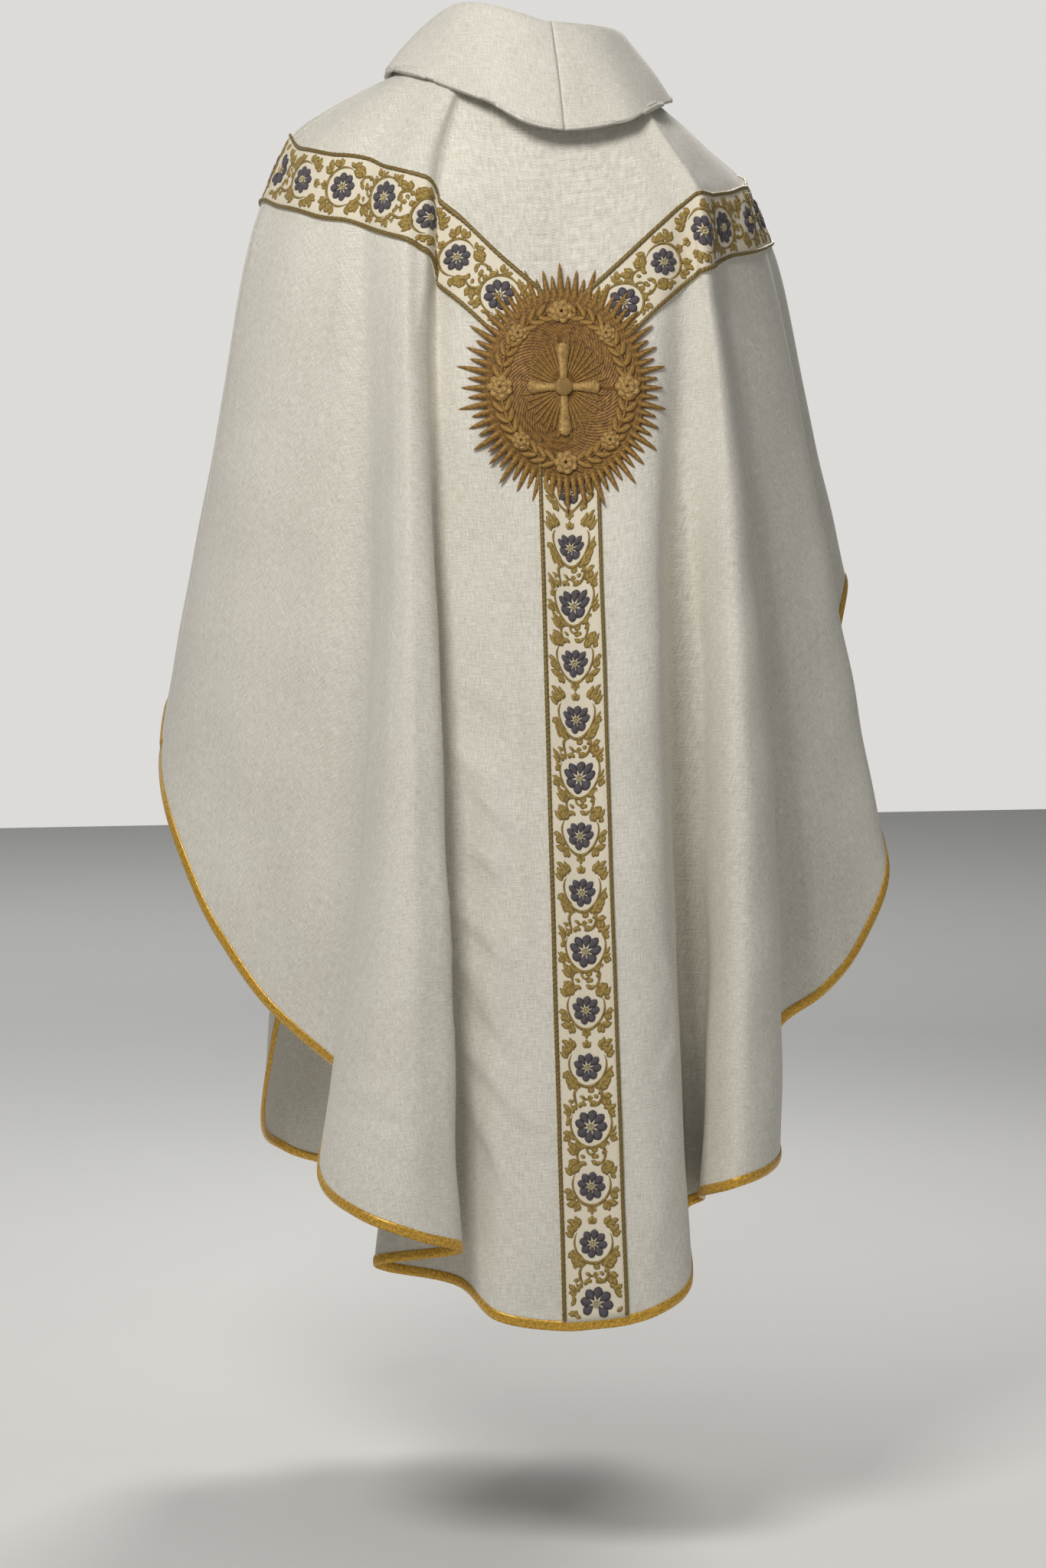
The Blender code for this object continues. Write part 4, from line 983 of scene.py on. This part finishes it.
ground_mesh = bmesh.new()
for k in range(72):
    turn = 5.0 * k
    long = (1.0, 0.90, 0.955, 0.90)[k % 4]
    root, tip = oval(0.66, turn), oval(long, turn)
    strand(ground_mesh, [root, tip], lambda t: 4.4 * (1 - t) ** 0.55 * min(1.0, 6 * t + 0.3) + 0.03, 3.2, 9, 8, lift=1.0, tuck=0.9)
apply_flat(ground_mesh, "medallion_rays", bronze_leaf, 0.0012)

field_mesh = bmesh.new()
dome(field_mesh, (0, 0), HALF_WIDE * 760, HALF_HIGH * 760, 3.4, 14, 96, 0.0, 3.2, 16, 0.012)
# The ground's thread is darkened as painted shade.
medallion_ground = apply_flat(field_mesh, "medallion_ground", bronze_painted_shade, 0.0006)

wreath = bmesh.new()
for side in (-1, 1):
    stem = [oval(0.60, side * d) for d in np.linspace(176, 8, 40)]
    strand(wreath, stem, 1.3, 1.6, 60, 6, lift=6.0)
    for k, d in enumerate(np.linspace(170, 14, 19)):
        base = oval(0.60, side * d)
        ahead = oval(0.60, side * (d - 3))
        turn = math.degrees(math.atan2(ahead[1] - base[1], ahead[0] - base[0]))
        for way in (-1, 1):
            t = np.linspace(0, 1, 7)
            leaf_turn = np.radians(turn + way * (42 - 26 * t))
            step = 17.0 / 6
            path = np.stack([base[0] + np.concatenate([[0], np.cumsum(np.cos(leaf_turn[:-1]) * step)]),
                             base[1] + np.concatenate([[0], np.cumsum(np.sin(leaf_turn[:-1]) * step)])], axis=1)
            strand(wreath, path, lambda s: 3.4 * math.sin(math.pi * s ** 0.8) ** 0.8 + 0.05, 2.0, 9, 8, lift=5.6)
apply_flat(wreath, "medallion_wreath", bronze_leaf, 0.0006)

flowers_mesh = bmesh.new()
for k in range(8):
    size = 12.5 if k % 2 == 0 else 9.5
    rosette(flowers_mesh, oval(0.60, 45 * k), size, 7.0)
# Rosettes in gold lightened as a painted highlight.
apply_flat(flowers_mesh, "medallion_rosettes", gold_painted_highlight, 0.0006)

centre_mesh = bmesh.new()
for k in range(40):
    turn = 9.0 * k
    strand(centre_mesh, [oval(0.10, turn), oval(0.43 if k % 2 else 0.38, turn)], lambda t: 2.7 * t ** 0.5 * (1 - t) ** 0.35 + 0.05, 1.6, 8, 6, lift=6.2)
apply_flat(centre_mesh, "medallion_inner_rays", bronze_leaf, 0.0006)

cross_mesh = bmesh.new()
for turn, long in ((0, 0.36), (90, 0.36), (180, 0.40), (270, 0.36)):
    strand(cross_mesh, [oval(0.03, turn), oval(long, turn)], lambda t: (4.0 + 5.0 * t ** 2) * min(1.0, (1 - t) * 9, t * 9 + 0.2), 2.6, 14, 10, lift=7.4)
dome(cross_mesh, (0, 0), 9.5, 9.5, 3.4, 10, 24, 8.6, 0.6)
# Cross in gold lightened as a painted highlight.
apply_flat(cross_mesh, "medallion_cross", gold_painted_highlight, 0.0006)


# Collar

def collar_half(name, table, node):
    """Roll collar from the neck seam up, over and down to its turned lower edge."""
    side = 1.0 if name.endswith("left") else -1.0
    tops = [np.array(r[1:4]) for r in table]
    lows = [np.array(r[4:7]) for r in table]
    mirror = np.array([-1.0, 1.0, 1.0])
    closed_tops = np.array(tops + [p * mirror for p in tops[-2:0:-1]])
    closed_lows = np.array(lows + [p * mirror for p in lows[-2:0:-1]])
    spans, fine = len(table) - 1, 10
    line = np.array([k // fine for k in range(spans * fine + 1)])
    share = np.array([(k % fine) / fine for k in range(spans * fine + 1)])
    top, low = between(closed_tops, line, share), between(closed_lows, line, share)
    grid = []
    for p, q in zip(top, low):
        out = np.array([p[0], p[1], 0.0])
        out = out / np.linalg.norm(out)
        up = np.array([0.0, 0.0, 1.0])
        stand = neck_point(p) * np.array([0.982, 0.982, 1.0]) + up * 0.0014
        fall = q - p
        puff = np.cross(np.cross(fall, out), fall)
        puff = puff / np.linalg.norm(puff)
        if puff[2] < 0 and np.dot(puff, out) < 0:
            puff = -puff
        rise = p - out * ROLL * 2 - stand
        knots = np.array([stand, stand + rise * 0.6, p - out * ROLL * 1.75 - up * 0.002, p - out * ROLL * 0.7 + up * 0.001,
                          p, p + fall * 0.30 + puff * 0.004, p + fall * 0.65 + puff * 0.004, q])
        closed = np.concatenate([knots, knots[-2:0:-1]])
        places = [(0, 0), (0, .5), (1, 0), (1, .35), (1, .7), (2, 0), (2, .33), (2, .66), (3, 0), (3, .33), (3, .66),
                  (4, 0), (4, .2), (4, .4), (4, .6), (4, .8), (5, 0), (5, .2), (5, .4), (5, .6), (5, .8),
                  (6, 0), (6, .2), (6, .4), (6, .6), (6, .8), (6, .93)]
        rows = [between(closed, np.array([i]), np.array([float(f)]))[0] for i, f in places]
        way = fall / np.linalg.norm(fall)
        last = q - way * 0.0016
        rows += [last + puff * 0.0006, last + way * 0.0012 - puff * 0.0006, last + way * 0.0012 - puff * 0.0024,
                 last - puff * 0.0034, last - way * 0.006 - puff * 0.0032]
        grid.append(rows)
    grid = np.array(grid).transpose(1, 0, 2)
    around, deep = cumulative(grid[11]), cumulative(grid, axis=0)
    soft = np.clip((deep - deep[11]) / 0.02, 0, 1)
    ripple = 0.0011 * np.sin(around * 47 + side) * np.sin(deep * 38) + 0.0009 * np.sin(around * 83 - deep * 30 + 1.3)
    seam = np.exp(-(np.abs(grid[..., 0]) / 0.003) ** 2) * 0.0007
    out = facing(grid)
    if np.sum(out[14:22] * np.array([grid[14:22, :, 0], grid[14:22, :, 1], 0 * grid[14:22, :, 0] + 0.05]).transpose(1, 2, 0)) < 0:
        out = -out
    grid = grid + out * ((ripple * soft * np.clip(np.abs(grid[..., 0]) / 0.03, 0, 1)) - seam * soft)[..., None]
    for k in (0, -1):
        grid[:, k, 0] = 0.0
    flat = np.stack([np.broadcast_to(around * side, deep.shape), -deep], axis=2)
    return piece(name, laid_sheet(grid, flat, out), stiff_linen, node, (COLLAR, -1.0)), grid


collar_left, collar_left_grid = collar_half("collar_linen_left", COLLAR_LEFT, "collar_left")
collar_right, collar_right_grid = collar_half("collar_linen_right", COLLAR_RIGHT, "collar_right")


# Sizes of the sheets as cut, worked out but not kept

def cut_size(cloth):
    """Width and length of the rectangle that a panel is cut from, and the panel's own area."""
    return (float(np.ptp(cloth["flat"][..., 0])), float(np.ptp(cloth["flat"][..., 1]))), float(cloth["area"])


for made, cloth, binding in ((back_panel, back, back_binding), (front_panel, front, front_binding)):
    size, area = cut_size(cloth)
for label, (made, place) in bands.items():
    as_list(made[1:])
for made, grid in ((collar_left, collar_left_grid), (collar_right, collar_right_grid)):
    deep, around = cumulative(grid, axis=0)[-1].mean(), cumulative(grid, axis=1)[:, -1].mean()




# Studio

def plain_finish(name, colour, rough):
    made = bpy.data.materials.new(name)
    made.use_nodes = True
    tree = made.node_tree
    where = put(tree, "ShaderNodeTexCoord").outputs["Object"]
    speckle = put(tree, "ShaderNodeTexNoise", {"Vector": where, "Scale": 3.0, "Detail": 3.0})
    blend = put(tree, "ShaderNodeMix", data_type="RGBA", clamp_factor=True)
    tree.links.new(speckle.outputs["Fac"], blend.inputs["Factor"])
    blend.inputs[6].default_value = (*[c * 0.97 for c in colour], 1.0)
    blend.inputs[7].default_value = (*colour, 1.0)
    skin = tree.nodes["Principled BSDF"]
    tree.links.new(blend.outputs[2], skin.inputs["Base Color"])
    skin.inputs["Roughness"].default_value = rough
    return made


floor_mesh = bmesh.new()
bmesh.ops.create_grid(floor_mesh, x_segments=1, y_segments=1, size=9.0)
bmesh.ops.translate(floor_mesh, vec=(0, 0, FLOOR), verts=floor_mesh.verts)
floor_data = bpy.data.meshes.new("floor")
floor_mesh.to_mesh(floor_data)
floor_mesh.free()
floor_data.materials.append(plain_finish("pale_floor", (0.78, 0.78, 0.77), 0.9))
floor = bpy.data.objects.new("floor", floor_data)
bpy.context.scene.collection.objects.link(floor)

world = bpy.data.worlds.new("studio")
bpy.context.scene.world = world
world.use_nodes = True
room = world.node_tree
room.nodes["Background"].inputs["Color"].default_value = (1.0, 0.985, 0.96, 1.0)
seen = put(room, "ShaderNodeLightPath")
room.links.new(put(room, "ShaderNodeMapRange", {"Value": seen.outputs["Is Camera Ray"], "To Min": ROOM_LIGHT, "To Max": BACKDROP}).outputs[0],
               room.nodes["Background"].inputs["Strength"])


def area_light(name, place, aim, size, power, colour):
    data = bpy.data.lights.new(name, 'AREA')
    data.shape, data.size, data.size_y = 'RECTANGLE', size[0], size[1]
    data.energy, data.color = power, colour
    made = bpy.data.objects.new(name, data)
    made.location = place
    made.rotation_euler = (Vector(aim) - Vector(place)).to_track_quat('-Z', 'Y').to_euler()
    made.visible_camera = False
    bpy.context.scene.collection.objects.link(made)


for row in LIGHTS:
    area_light(*row)

view = bpy.data.cameras.new("camera")
view.lens, view.sensor_width, view.sensor_fit = LENS, 36.0, 'AUTO'
view.clip_end = 60.0
camera = bpy.data.objects.new("camera", view)
camera.location = CAMERA_AT
camera.rotation_euler = Vector(CAMERA_AIM - CAMERA_AT).to_track_quat('-Z', 'Y').to_euler()
bpy.context.scene.collection.objects.link(camera)
bpy.context.scene.camera = camera
bpy.context.scene.view_settings.view_transform = 'Standard'
